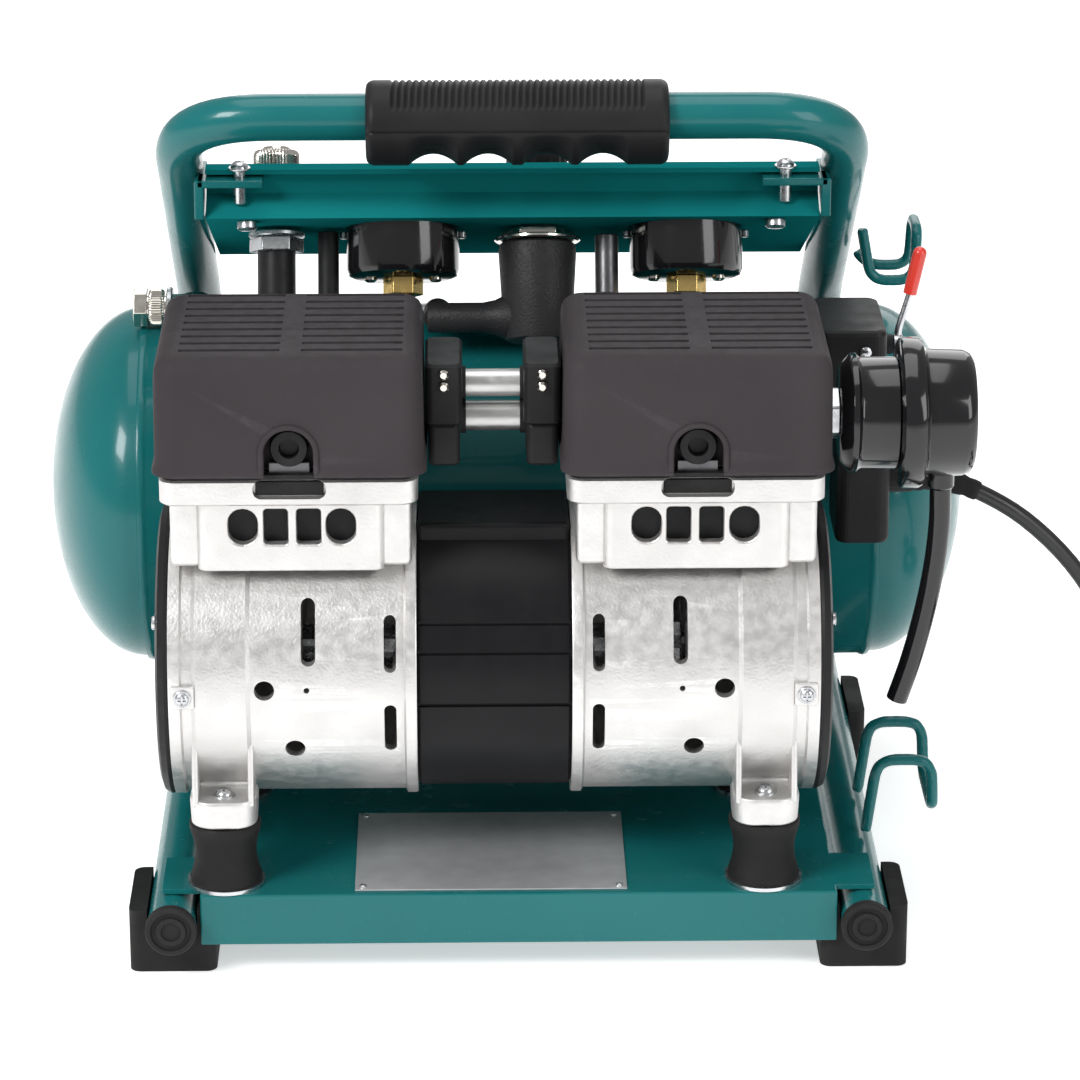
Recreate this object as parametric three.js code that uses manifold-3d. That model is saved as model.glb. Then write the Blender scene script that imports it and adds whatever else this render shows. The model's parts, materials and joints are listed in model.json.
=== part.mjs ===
// Portable oil-free air compressor with two pump heads on one motor, a small tank behind them
// and a console panel under the carrying handle.
// Millimetres, +Z up, +Y from the pump side to the tank side, origin on the floor in mid footprint.
import * as THREE from "three";
import { mergeGeometries, mergeVertices } from "three/addons/utils/BufferGeometryUtils.js";
import Module from "manifold-3d";

const wasm = await Module();
wasm.setup();

// Driving dimensions. x is from the frame's middle plane, y from the rails' front ends.
const GAP = 0.3; // between pieces that touch
const railX = 131.3; // middle of each side tube
const tubeR = 9.15;
const railZ = 21;
const uprightY = 309; // where the side tubes stand behind the tank
const kneeZ = 168; // where they lean forward
const barY = 148;
const barZ = 298;
const bends = [52, 44, 38, 38, 44, 52]; // how far each bend starts from its corner
const tankX = -2;
const tankY = 221;
const tankZ = 124;
const tankR = 73;
const tankLength = 375;
const tankWall = 3;
const domeDepth = 38;
const gripX = 1.5;
const pumpX = -8.9; // middle of the motor
const crankY = 66.5;
const crankZ = 111;
const caseR = 55;
const caseInner = 29; // from the motor's middle to each crankcase
const caseWidth = 92.5;
const caseWall = 4;
const mountX = 102;
const mountYs = [22, 111];
const mountR = 13.5;
const deckZ = 184;
const deckTop = 194;
const coverWidth = 99.5;
const coverFront = 16;
const coverBack = 107;
const coverBottom = 196.5;
const coverTop = 241;
const plateTop = 32.5;
const sheet = 2; // plate thickness
const plateHalf = 120.4;
const plateFront = 8;
const plateBack = 262;
const plugFace = 4; // the end plugs stand this far out of the rails
const footprint = { x: tankX, y: (uprightY + tubeR) / 2 };
const headX = [pumpX - caseInner - caseWidth / 2, pumpX + caseInner + caseWidth / 2];
const panelTilt = THREE.MathUtils.degToRad(24); // of the console's face from level
const panelFold = { y: 166, z: 252.2 }; // the face's front edge
const panelDepth = 106;
const panelRise = 18.5; // from the face's front edge up to the top lip
const gaugeR = 22.5;
const gaugeDepth = 20;
const dialLevel = 3; // above the console's face
const gaugeXs = [-43.7, 69.5];
const gaugeAlong = 30; // from the front edge, down the face
const regulatorX = 10;
const couplingX = -94.2;
const filterY = 50;
const filterZ = 209;
const cordR = 3.25;
const hoseR = 4.1;

const materials = {
  teal: { color: 0x0b6a6c, roughness: 0.3, metalness: 0.1 },
  black: { color: 0x141416, roughness: 0.5, metalness: 0 },
  gloss: { color: 0x0c0c0e, roughness: 0.18, metalness: 0 },
  rubber: { color: 0x19191a, roughness: 0.85, metalness: 0 },
  cover: { color: 0x2d2a2d, roughness: 0.6, metalness: 0 },
  cast: { color: 0xc2c2bf, roughness: 0.45, metalness: 0.8 },
  steel: { color: 0xa9abad, roughness: 0.35, metalness: 0.9 },
  nickel: { color: 0xc9c6bd, roughness: 0.2, metalness: 1 },
  brass: { color: 0xb8903f, roughness: 0.3, metalness: 1 },
  motor: { color: 0x1a1a1c, roughness: 0.4, metalness: 0.4 },
};

// ---- solids and booleans

function clean(geometry) {
  const bare = geometry.clone();
  bare.deleteAttribute("normal");
  bare.deleteAttribute("uv");
  return mergeVertices(bare, 1e-3);
}

function toSolid(geometry) {
  const merged = clean(geometry);
  const mesh = new wasm.Mesh({
    numProp: 3,
    vertProperties: new Float32Array(merged.attributes.position.array),
    triVerts: new Uint32Array(merged.index.array),
  });
  return new wasm.Manifold(mesh);
}

function toGeometry(solid) {
  const mesh = solid.getMesh();
  const geometry = new THREE.BufferGeometry();
  geometry.setAttribute("position", new THREE.BufferAttribute(mesh.vertProperties, 3));
  geometry.setIndex(new THREE.BufferAttribute(mesh.triVerts, 1));
  return geometry;
}

function join(...geometries) {
  return toGeometry(geometries.map(toSolid).reduce((a, b) => a.add(b)));
}

function cut(geometry, ...tools) {
  return toGeometry(tools.map(toSolid).reduce((a, b) => a.subtract(b), toSolid(geometry)));
}

function at(geometry, x, y, z) {
  return geometry.translate(x, y, z);
}

function box(x0, x1, y0, y1, z0, z1) {
  const geometry = new THREE.BoxGeometry(x1 - x0, y1 - y0, z1 - z0);
  return at(geometry, (x0 + x1) / 2, (y0 + y1) / 2, (z0 + z1) / 2);
}

// A round bar along X, Y or Z from start to end, whose middle line passes through (a, b).
function bar(axis, radius, start, end, a, b, sides = 24, endRadius = radius) {
  const geometry = new THREE.CylinderGeometry(endRadius, radius, end - start, sides);
  const middle = (start + end) / 2;
  if (axis === "z") return at(geometry.rotateX(Math.PI / 2), a, b, middle);
  if (axis === "y") return at(geometry, a, middle, b);
  return at(geometry.rotateZ(-Math.PI / 2), middle, a, b);
}

// A turned body along +X: profile is a closed or axis-to-axis list of [radius, x].
function turnedX(profile, y, z, sides = 32) {
  const points = profile.map(([r, x]) => new THREE.Vector2(r, x));
  const geometry = new THREE.LatheGeometry(points, sides);
  return at(geometry.rotateZ(-Math.PI / 2), 0, y, z);
}

function turnedZ(profile, x, y, sides = 32) {
  const points = profile.map(([r, z]) => new THREE.Vector2(r, z));
  const geometry = new THREE.LatheGeometry(points, sides);
  return at(geometry.rotateX(Math.PI / 2), x, y, 0);
}

function circle(radius, sides) {
  const points = [];
  for (let i = 0; i < sides; i += 1) {
    const angle = (2 * Math.PI * i) / sides;
    points.push(new THREE.Vector2(radius * Math.cos(angle), radius * Math.sin(angle)));
  }
  return new THREE.Shape(points);
}

function hexagon(radius) {
  return circle(radius, 6);
}

function rod(curve, radius, steps, sides = 12) {
  const options = { extrudePath: curve, steps, bevelEnabled: false };
  return new THREE.ExtrudeGeometry(circle(radius, sides), options);
}

// A polyline whose corners are rounded; reach says how far from its corner each bend starts.
function bentPath(points, reach) {
  const path = new THREE.CurvePath();
  let start = points[0];
  for (let i = 1; i < points.length - 1; i += 1) {
    const from = Array.isArray(reach) ? reach[i - 1] : reach;
    const before = points[i - 1].clone().sub(points[i]).setLength(from).add(points[i]);
    const after = points[i + 1].clone().sub(points[i]).setLength(from).add(points[i]);
    path.add(new THREE.LineCurve3(start, before));
    path.add(new THREE.QuadraticBezierCurve3(before, points[i], after));
    start = after;
  }
  path.add(new THREE.LineCurve3(start, points.at(-1)));
  return path;
}

function vector(x, y, z) {
  return new THREE.Vector3(x, y, z);
}

// A flat outline in the YZ plane, drawn as [y, z] points, extruded along X.
function plateX(outline, x0, x1) {
  const shape = new THREE.Shape(outline.map(([y, z]) => new THREE.Vector2(y, z)));
  const geometry = new THREE.ExtrudeGeometry(shape, { depth: x1 - x0, bevelEnabled: false });
  const turn = new THREE.Matrix4().makeBasis(vector(0, 1, 0), vector(0, 0, 1), vector(1, 0, 0));
  return at(geometry.applyMatrix4(turn), x0, 0, 0);
}

// A rounded block: its plan is a rectangle with round corners and its top edge is bevelled.
function roundedBlock(x0, x1, y0, y1, z0, z1, corner, bevel = 0) {
  const shape = new THREE.Shape();
  const [a, b] = [x1 - x0 - 2 * bevel, y1 - y0 - 2 * bevel];
  const r = corner - bevel;
  shape.moveTo(r, 0);
  shape.lineTo(a - r, 0);
  shape.absarc(a - r, r, r, -Math.PI / 2, 0);
  shape.absarc(a - r, b - r, r, 0, Math.PI / 2);
  shape.absarc(r, b - r, r, Math.PI / 2, Math.PI);
  shape.absarc(r, r, r, Math.PI, 1.5 * Math.PI);
  const options = {
    depth: z1 - z0 - 2 * bevel,
    curveSegments: 3,
    bevelEnabled: bevel > 0,
    bevelThickness: bevel,
    bevelSize: bevel,
    bevelSegments: 2,
  };
  return at(new THREE.ExtrudeGeometry(shape, options), x0 + bevel, y0 + bevel, z0 + bevel);
}

// ---- places on the console's tilted face

// The point that lies along the face from its front edge and above it, in the panel's own plane.
function onPanel(along, above) {
  const y = panelFold.y + along * Math.cos(panelTilt) + above * Math.sin(panelTilt);
  const z = panelFold.z - along * Math.sin(panelTilt) + above * Math.cos(panelTilt);
  return [y, z];
}

// Turns a body made along +Z at the origin so that it stands square on the face at x.
function standOnPanel(geometry, x, along, above = 0) {
  const [y, z] = onPanel(along, above);
  return at(geometry.rotateX(-panelTilt), x, y, z);
}

// ---- the frame

function sideTubePath() {
  const lean = vector(0, barY, barZ);
  return bentPath(
    [
      vector(-railX, plugFace, railZ),
      vector(-railX, uprightY, railZ),
      vector(-railX, uprightY, kneeZ),
      vector(-railX, lean.y, lean.z),
      vector(railX, lean.y, lean.z),
      vector(railX, uprightY, kneeZ),
      vector(railX, uprightY, railZ),
      vector(railX, plugFace, railZ),
    ],
    bends,
  );
}

// One tube all the way round, with an angle bracket welded inside each upright for the console.
function frameTube() {
  const tube = rod(sideTubePath(), tubeR, 68, 12);
  const top = panelFold.z + panelRise - sheet - GAP;
  const brackets = [-1, 1].flatMap((side) => {
    const weld = side * (railX - tubeR + 3);
    const flank = side * (railX - tubeR - 0.8);
    const tip = side * (railX - tubeR - 24);
    return [
      box(Math.min(weld, flank), Math.max(weld, flank), 165, 196, 252, top),
      box(Math.min(weld, tip), Math.max(weld, tip), 165, panelFold.y + 11.6, top - 3, top),
    ];
  });
  return join(tube, ...brackets);
}

function basePlate() {
  const top = box(-plateHalf, plateHalf, plateFront, plateBack, plateTop - sheet, plateTop);
  const flange = box(-plateHalf, plateHalf, plateFront, plateFront + sheet, 12, plateTop);
  const tabs = [-1, 1].flatMap((side) =>
    [14, 228].map((y) => {
      const ends = [side * (plateHalf - 2), side * (railX + 4)];
      return box(Math.min(...ends), Math.max(...ends), y, y + 30, plateTop - sheet, plateTop);
    }),
  );
  return join(top, flange, ...tabs);
}

function railPlug(side) {
  return bar("y", tubeR + 0.6, 0, plugFace - GAP, side * railX, railZ, 20);
}

// A rubber block that wraps the rail from below.
function footPad(side, y0, y1) {
  const block = roundedBlock(-16.5, 16.5, y0, y1, 0, railZ + 4, 4);
  const channel = bar("y", tubeR + GAP, y0 - 1, y1 + 1, 0, railZ, 16);
  const mouth = box(-tubeR - GAP, tubeR + GAP, y0 - 1, y1 + 1, railZ, railZ + 10);
  return at(cut(block, channel, mouth), side * railX, 0, 0);
}

function handleGrip() {
  const half = 58.5;
  const shell = bar("x", 16.5, -half, half, barY, barZ - 2.5, 20);
  const bore = bar("x", tubeR + GAP, -half - 1, half + 1, barY, barZ, 20);
  const grooves = [-34, -12, 12, 34].map((x) => bar("y", 8, barY - 30, barY + 30, x, barZ - 24, 12));
  return at(cut(shell, bore, ...grooves), gripX, 0, 0);
}

// A bent rod that leaves its tube twice, side by side, and closes in a U at its tip.
function cordHook(root, runZ, tipX, tipZ, y0, y1, rootZ0, rootZ1) {
  const path = bentPath(
    [
      vector(root, y0, rootZ0),
      vector(root + 4, y0, runZ),
      vector(tipX, y0, runZ),
      vector(tipX + 1, y0, tipZ),
      vector(tipX + 1, y1, tipZ),
      vector(tipX, y1, runZ),
      vector(root + 4, y1, runZ),
      vector(root, y1, rootZ1),
    ],
    6,
  );
  return rod(path, 2.5, 36, 7);
}

// ---- the tank

// A straight barrel with an elliptical dome at each end, drawn in the given number of steps.
function tankProfile(radius, half, depth, steps) {
  const dome = [];
  for (let i = 0; i <= steps; i += 1) {
    const angle = (Math.PI / 2) * (i / steps);
    dome.push([radius * Math.sin(angle), depth * (1 - Math.cos(angle)) - half]);
  }
  return [...dome, ...dome.map(([r, x]) => [r, -x]).reverse()];
}

function tankShell() {
  const half = tankLength / 2;
  const shell = turnedX(tankProfile(tankR, half, domeDepth, 5), tankY, tankZ, 36);
  const hollow = turnedX(
    tankProfile(tankR - tankWall, half - tankWall, domeDepth, 3), tankY, tankZ, 20);
  const bung = bar("z", 6.5, 41, tankZ - tankR + 2, 60, tankY, 12);
  const drain = bar("z", 2.6, 38, tankZ, 60, tankY, 12);
  return at(cut(join(shell, bung), hollow, drain), tankX, 0, 0);
}

function tankSaddle(x) {
  const width = 26;
  const block = box(x - width / 2, x + width / 2, tankY - 42, tankY + 36, plateTop + GAP, 74);
  const round = bar("x", tankR + GAP, x - 40, x + 40, tankY, tankZ, 48);
  const arch = box(x - width, x + width, tankY - 24, tankY + 20, plateTop - 1, plateTop + 9);
  return cut(block, round, arch);
}

function drainValveScrew() {
  const x = tankX + 60;
  const stem = bar("z", 2.2, 39.4, 48, x, tankY, 12);
  const head = bar("z", 7, 34.5, 40.4, x, tankY, 6);
  return join(stem, head);
}

// A quick coupling along +Z from 0: hex body with a grooved nose.
function couplingBody() {
  const hex = new THREE.ExtrudeGeometry(hexagon(9.5), { depth: 8, bevelEnabled: false });
  const nose = turnedZ([[3.4, 0], [6, 0], [6, 30], [3.4, 30], [3.4, 0]], 0, 0, 20);
  const base = bar("z", 8, 0, 9, 0, 0, 20);
  const hole = bar("z", 3.4, 5, 34, 0, 0, 20);
  return cut(join(hex, base, nose), hole);
}

function couplingSleeve() {
  return turnedZ([[6.4, 13.5], [9.2, 13.5], [9.2, 27.5], [8.2, 29], [6.4, 29], [6.4, 13.5]], 0, 0, 24);
}

// An elbow on the tank's shoulder whose open end points outwards, with a hex nut on it.
function tankFitting() {
  const riser = bar("z", 5.4, 194, 204, -128, 205, 14);
  const arm = bar("x", 5.2, -148, -122.5, 205, 204, 16);
  const collar = bar("x", 6.8, -144, -137, 205, 204, 20);
  const nut = bar("x", 7.6, -153, -146.8, 205, 204, 6);
  const bore = bar("x", 3.2, -154, -138, 205, 204, 12);
  const tank = bar("x", tankR + GAP, -150, -100, tankY, tankZ, 36);
  return cut(join(riser, arm, collar, nut), tank, bore);
}

// ---- the pump

function rubberMount(x, y) {
  const low = plateTop + GAP;
  return turnedZ([[0, low], [mountR, low], [mountR, 42], [mountR - 1.5, 50], [mountR, 58.2], [0, 58.2]], x, y, 16);
}

function slotY(width, height, x, z, depth = 60) {
  const shape = new THREE.Shape();
  const r = Math.min(width, height) / 2;
  const [a, b] = [width / 2 - r, height / 2 - r];
  shape.absarc(a, b, r, 0, Math.PI / 2);
  shape.absarc(-a, b, r, Math.PI / 2, Math.PI);
  shape.absarc(-a, -b, r, Math.PI, 1.5 * Math.PI);
  shape.absarc(a, -b, r, 1.5 * Math.PI, 2 * Math.PI);
  const options = { depth, bevelEnabled: false, curveSegments: 2 };
  const geometry = new THREE.ExtrudeGeometry(shape, options).rotateX(Math.PI / 2);
  return at(geometry, x, crankY - 10, z);
}

// side is -1 for the left pump and +1 for the right; the cases are mirror images.
function crankcase(side) {
  const middle = headX[side < 0 ? 0 : 1];
  const [x0, x1] = [middle - caseWidth / 2, middle + caseWidth / 2];
  const inner = side < 0 ? x1 : x0;
  const outer = side < 0 ? x0 : x1;
  const drum = bar("x", caseR, x0, x1, crankY, crankZ, 32);
  const neck = box(x0 + 2, x1 - 2, crankY - 43, crankY + 43, 159.7, deckZ + 1);
  const deck = roundedBlock(x0 - 2, x1 + 1, crankY - 47, crankY + 42, deckZ, deckTop, 6);
  const legs = mountYs.map((y) => legColumn(side, y));
  const ends = [outer - side * (caseWidth - 8), outer + side * 10];
  const room = bar("x", caseR - caseWall, Math.min(...ends), Math.max(...ends), crankY, crankZ, 24);
  const neckRoom = box(x0 + 7, x1 - 7, crankY - 38, crankY + 38, 140, deckZ - 4);
  const bore = bar("z", 31.5, crankZ, deckTop + 1, middle, crankY, 24);
  const shaftHole = bar("x", 9.5, inner - 12, inner + 12, crankY, crankZ, 20);
  const from = (distance) => pumpX + side * distance;
  const windows = [92.9, 80.7, 68.5, 56.6].map((distance) => slotY(9.6, 13.8, from(distance), 174.5, 45));
  const slots = [
    slotY(5.6, 23, from(69.3), 135),
    slotY(4.4, 20, from(38.9), 130.7),
    slotY(4.4, 20, from(38.9), 98),
  ];
  const holes = [slotY(7.4, 7.4, from(85.8), 114), slotY(7.4, 7.4, from(74.7), 89)];
  return cut(join(drum, neck, deck, ...legs), room, neckRoom, bore, shaftHole, ...windows, ...slots, ...holes);
}

function legColumn(side, y) {
  const x = pumpX + side * mountX;
  const reach = y < crankY ? y + 28 : y - 28;
  const foot = turnedZ([[0, 58.5], [13, 58.5], [14, 66], [10.5, 78], [10, 90], [0, 90]], x, y, 12);
  const web = box(x - 9, x + 9, Math.min(y, reach) - 4, Math.max(y, reach) + 4, 76, 104);
  const screwHole = bar("z", 3.2, 50, 62, x, y, 10);
  return cut(join(foot, web), screwHole);
}

function motorStator() {
  const x0 = pumpX - caseInner + GAP;
  const x1 = pumpX + caseInner - GAP;
  const outer = bar("x", caseR - 1.5, x0, x1, crankY, crankZ, 36);
  const core = bar("x", 30.5, x0 - 1, x1 + 1, crankY, crankZ, 24);
  const top = box(x0, x1, crankY - 20, crankY + 20, crankZ + 30, crankZ + 56);
  const grooves = [25.4, 15.3, -4.6].map((dz) => {
    const y = crankY - Math.sqrt((caseR - 1.5) ** 2 - dz ** 2);
    return box(x0 - 1, x1 + 1, y - 3, y + 1.2, crankZ + dz, crankZ + dz + 1.6);
  });
  return cut(join(outer, top), core, ...grooves);
}

// Shaft, rotor core and the two cranks that carry the rods.
function rotorShaft() {
  const reach = caseInner + caseWidth - 2;
  const shaft = bar("x", 8, pumpX - reach, pumpX + reach, crankY, crankZ, 20);
  const core = bar("x", 29.5, pumpX - 27, pumpX + 27, crankY, crankZ, 24);
  const webs = headX.map((x) => bar("x", 16, x - 10, x - 4, crankY, crankZ + 4, 20));
  return join(shaft, core, ...webs);
}

function coolingFan(side) {
  const x = headX[side < 0 ? 0 : 1] + side * (caseWidth / 2 - 16);
  const hub = bar("x", 15, x - 7, x + 7, crankY, crankZ, 20);
  const blades = [];
  for (let i = 0; i < 7; i += 1) {
    const blade = new THREE.BoxGeometry(10, 3, 34);
    blade.rotateZ(0.5);
    blade.translate(0, 0, 27);
    blade.rotateX((2 * Math.PI * i) / 7);
    blades.push(at(blade, x, crankY, crankZ));
  }
  const bore = bar("x", 8 + GAP, x - 12, x + 12, crankY, crankZ, 20);
  return cut(join(hub, ...blades), bore);
}

// A shallow dished guard over the crankcase's open end, with a ring of air slots.
function fanCover(side) {
  const end = headX[side < 0 ? 0 : 1] + side * (caseWidth / 2 + GAP);
  const outer = end + side * 4.6;
  const ends = [end, outer];
  const disc = bar("x", caseR + 1, Math.min(...ends), Math.max(...ends), crankY, crankZ, 36);
  const slots = [];
  for (let i = 0; i < 10; i += 1) {
    const slot = new THREE.BoxGeometry(20, 7, 22);
    slot.translate(0, 0, 32);
    slot.rotateX((2 * Math.PI * i) / 10);
    slots.push(at(slot, end, crankY, crankZ));
  }
  return cut(disc, ...slots);
}

function cylinderLiner(x) {
  const [low, high] = [crankZ + 46, deckTop + 0.8];
  const tube = [[27.3, low], [31, low], [31, high], [27.3, high], [27.3, low]];
  return turnedZ(tube, x, crankY, 24);
}

// Wobble piston: the rod and the cupped crown are one piece.
function pistonRod(x) {
  const crown = bar("z", 26.6, 176, 184, x, crankY, 24);
  const shank = box(x - 3, x + 3, crankY - 7, crankY + 7, crankZ + 20, 177);
  const eye = bar("x", 27, x - 3, x + 3, crankY, crankZ + 4, 24);
  const bore = bar("x", 20, x - 6, x + 6, crankY, crankZ + 4, 24);
  return cut(join(crown, shank, eye), bore);
}

function cylinderHead(x) {
  const base = roundedBlock(x - 40, x + 40, crankY - 38, crankY + 34, deckTop + 1.2, deckTop + 8, 5);
  const fins = [-30, -18, -6, 6, 18, 30].map((dx) =>
    box(x + dx - 2, x + dx + 2, crankY - 26, crankY + 32, deckTop + 6, deckTop + 30),
  );
  return join(base, ...fins);
}

// The plastic hood over a head: rounded, open below, grooved on top, with an arch in front.
function headCover(x) {
  const [x0, x1] = [x - coverWidth / 2, x + coverWidth / 2];
  const hood = roundedBlock(x0, x1, coverFront, coverBack, coverBottom, coverTop + 4, 8, 4);
  const lower = roundedBlock(x0, x1, coverFront, coverBack, coverBottom, coverBottom + 20, 8);
  const floor = box(x0 - 1, x1 + 1, coverFront - 1, coverBack + 1, coverBottom - 9, coverBottom);
  const hollow = box(x0 + 4, x1 - 4, coverFront + 4, coverBack - 4, coverBottom - 10, coverTop - 3);
  const lid = box(x0 - 1, x1 + 1, coverFront - 1, coverBack + 1, coverTop, coverTop + 10);
  const arch = join(
    box(x - 9.3, x + 9.3, coverFront - 2, coverFront + 9, coverBottom - 5, coverBottom + 9),
    bar("y", 9.3, coverFront - 2, coverFront + 9, x, coverBottom + 9, 20),
  );
  const grooves = [];
  for (let i = 0; i < 9; i += 1) {
    const y = coverFront + 13 + i * 8.6;
    grooves.push(box(x - 40, x - 3, y, y + 3, coverTop - 1.5, coverTop + 1));
    grooves.push(box(x + 5, x + 42, y, y + 3, coverTop - 1.5, coverTop + 1));
  }
  return cut(join(hood, lower), floor, hollow, lid, arch, ...grooves);
}

// The block beside each hood that the crossover tubes plug into.
function manifoldBlock(side) {
  const face = headX[side < 0 ? 0 : 1] - side * (coverWidth / 2 + GAP);
  const ends = [face, face - side * 13.8];
  return roundedBlock(Math.min(...ends), Math.max(...ends), 42, 78, 191, 231, 3);
}

function crossoverTube(z) {
  const start = headX[0] + coverWidth / 2 + GAP + 13.8 + GAP;
  const end = headX[1] - coverWidth / 2 - GAP - 13.8 - GAP;
  const outline = [[3.6, start], [5.4, start], [5.4, end], [3.6, end], [3.6, start]];
  return turnedX(outline, 60, z, 16);
}

// ---- the intake filter

const nippleLength = 3.6;
const filterStart = headX[1] + coverWidth / 2 + GAP;

function intakeNipple() {
  const x = filterStart;
  return bar("x", 10, x, x + nippleLength, filterY, filterZ, 6);
}

function intakeFilterBody() {
  const x = filterStart + nippleLength + GAP;
  const outline = [[0, x], [18, x], [22.5, x + 3], [22.5, x + 6], [21, x + 7], [21, x + 21.5], [0, x + 21.5]];
  return turnedX(outline, filterY, filterZ, 32);
}

function intakeFilterCap() {
  const x = filterStart + nippleLength + 21.5 + 2 * GAP;
  const outline = [[0, x], [27, x], [28.3, x + 1.5], [28.3, x + 8], [27, x + 9], [24, x + 9.5]];
  outline.push([24, x + 26], [22.5, x + 28], [0, x + 28]);
  const nozzle = bar("z", 5, 179.5, 190, x + 17, filterY, 16);
  return join(turnedX(outline, filterY, filterZ, 32), nozzle);
}

const hoseX = filterStart + nippleLength + 21.5 + 2 * GAP + 17;

function intakeTube() {
  const route = new THREE.CatmullRomCurve3([
    vector(hoseX, filterY, 179.2),
    vector(hoseX, filterY, 165),
    vector(hoseX - 1.5, filterY, 148),
    vector(hoseX - 4.5, filterY, 130),
    vector(hoseX - 9, filterY + 1, 110),
    vector(hoseX - 14, filterY + 2, 93),
  ]);
  return rod(route, hoseR, 14, 8);
}

// ---- the pressure switch

const switchX = [121, 146];
const switchRight = switchX[1];

function switchBox() {
  const upper = roundedBlock(switchX[0] - 4, switchRight - 2, 112, 160, 182, 221, 5, 2);
  const lower = roundedBlock(switchX[0] + 4, switchRight, 106, 143, 136, 190, 5, 2);
  const foot = bar("z", 9, 165, 186, switchX[0] + 12, 158, 6);
  const pin = bar("x", 4, switchRight - 4, switchRight + 2, 138, 208, 16);
  const gland = bar("x", 6.5, switchRight - 3, switchRight + 8, 125, 158, 16);
  const tank = bar("x", tankR + GAP, 100, 180, tankY, tankZ, 40);
  return cut(join(upper, lower, foot, pin, gland), tank);
}

function switchLever() {
  const x = switchRight + 2 + GAP;
  const boss = bar("x", 4, x, x + 4, 138, 208, 16);
  const arm = rod(new THREE.LineCurve3(vector(x + 2, 138, 209), vector(x + 7, 140, 230)), 1.4, 1, 8);
  const tip = rod(new THREE.LineCurve3(vector(x + 6.6, 140, 228), vector(x + 10, 141, 245)), 3.1, 1, 12);
  return join(boss, arm, tip);
}

// ---- the console

// A folded sheet: top lip, short drop, ledge and the tilted face that carries the gauges.
function consolePanel() {
  const half = railX - tubeR - 1.2;
  const webY = panelFold.y + 12;
  const lipZ = panelFold.z + panelRise;
  const ledgeZ = panelFold.z + 7;
  const [faceY, faceZ] = onPanel(panelDepth, 0);
  const outside = [
    [webY + sheet, lipZ], [webY - 7, lipZ], [webY - 7, lipZ - sheet], [webY, lipZ - sheet],
    [webY, ledgeZ], [panelFold.y, panelFold.z], [faceY, faceZ],
  ];
  const [innerY, innerZ] = onPanel(panelDepth, sheet);
  const [foldY, foldZ] = onPanel(3.4, sheet);
  const inside = [[innerY, innerZ], [foldY, foldZ], [webY + sheet, ledgeZ - 1]];
  const strip = plateX([...outside, ...inside], -half, half);
  const holes = gaugeXs.map((x) => standOnPanel(bar("z", gaugeR + GAP, -6, 8, 0, 0, 28), x, gaugeAlong));
  const round = (x, r) => standOnPanel(bar("z", r, -8, 10, 0, 0, 20), x, gaugeAlong);
  return cut(strip, ...holes, round(regulatorX, 9), round(couplingX, 6.6));
}

function gauge(x) {
  const profile = [
    [0, -gaugeDepth], [gaugeR - 1.2, -gaugeDepth], [gaugeR, -gaugeDepth + 1.2], [gaugeR, 6],
    [gaugeR - 1, 7], [gaugeR - 2.5, 7], [gaugeR - 2.5, dialLevel], [0, dialLevel],
  ];
  const body = turnedZ(profile, 0, 0, 28);
  const stem = bar("z", 6.4, -gaugeDepth - 9, -gaugeDepth + 1, 0, 0, 6);
  const foot = bar("z", 4, -gaugeDepth - 14, -gaugeDepth - 7, 0, 0, 12);
  return standOnPanel(join(body, stem, foot), x, gaugeAlong);
}

// A pointer over the dial, at rest on its stop at the lower left of the scale.
function gaugeNeedle(x) {
  const hub = bar("z", 2.4, dialLevel + GAP, dialLevel + 2.2, 0, 0, 12);
  const hand = at(new THREE.BoxGeometry(21, 1.4, 0.8), 6, 0, dialLevel + 1.2);
  return standOnPanel(join(hub, hand).rotateZ(THREE.MathUtils.degToRad(45)), x, gaugeAlong);
}

function regulatorBody() {
  const ring = bar("z", 15, -6.3, -0.6, 0, 0, 24);
  const bowl = turnedZ([[0, -46], [13, -46], [16, -40], [16, -12], [14, -6], [0, -6]], 0, 0, 28);
  const stem = bar("z", 8.4, -8, 6, 0, 0, 20);
  const branch = bar("x", 6.2, -42, 0, 0, -36, 16);
  const elbow = bar("y", 6, 0, 8, -40, -36, 12);
  return standOnPanel(join(ring, bowl, stem, branch, elbow), regulatorX, gaugeAlong);
}

function regulatorKnob() {
  const knob = turnedZ([[0, 8], [11.5, 8], [13, 11], [12.2, 33], [10, 35.5], [0, 35.5]], 0, 0, 20);
  return standOnPanel(knob, regulatorX, gaugeAlong);
}

function panelPipe(x, radius, collar) {
  const pipe = bar("z", radius, -62, -3, 0, 0, 14);
  const nut = bar("z", collar, -8.5, -2.4, 0, 0, 6);
  return standOnPanel(join(pipe, nut), x, gaugeAlong);
}

function leftPipe() {
  const link = bar("x", 4, -1, 20.7, 0, -54, 12);
  const tall = join(bar("z", 7.6, -58, -2.4, 0, 0, 16), bar("z", 10, -8.5, -2.4, 0, 0, 6));
  const thin = bar("z", 4.2, -58, -2.4, 20.7, 0, 12);
  return standOnPanel(join(tall, thin, link), couplingX, gaugeAlong);
}

function panelCouplingPlace(geometry) {
  return standOnPanel(geometry, couplingX, gaugeAlong, sheet + GAP);
}

// ---- the mains lead, its coil and plug

const coil = { x: 318, y: 110, inner: 24.7, outer: 44.5, high: 20.2 };

function mainsCord() {
  const route = new THREE.CatmullRomCurve3([
    vector(154.4, 125, 158),
    vector(166, 125, 157),
    vector(182, 124.5, 151.5),
    vector(201, 124, 140),
    vector(220, 125, 121),
    vector(236, 127, 96),
    vector(250, 131, 66),
    vector(264, 137, 33),
    vector(279, 146, 9.5),
    vector(296, 156, 3.6),
    vector(312, 158.6, 3.6),
  ]);
  return rod(route, cordR, 32, 8);
}

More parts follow.
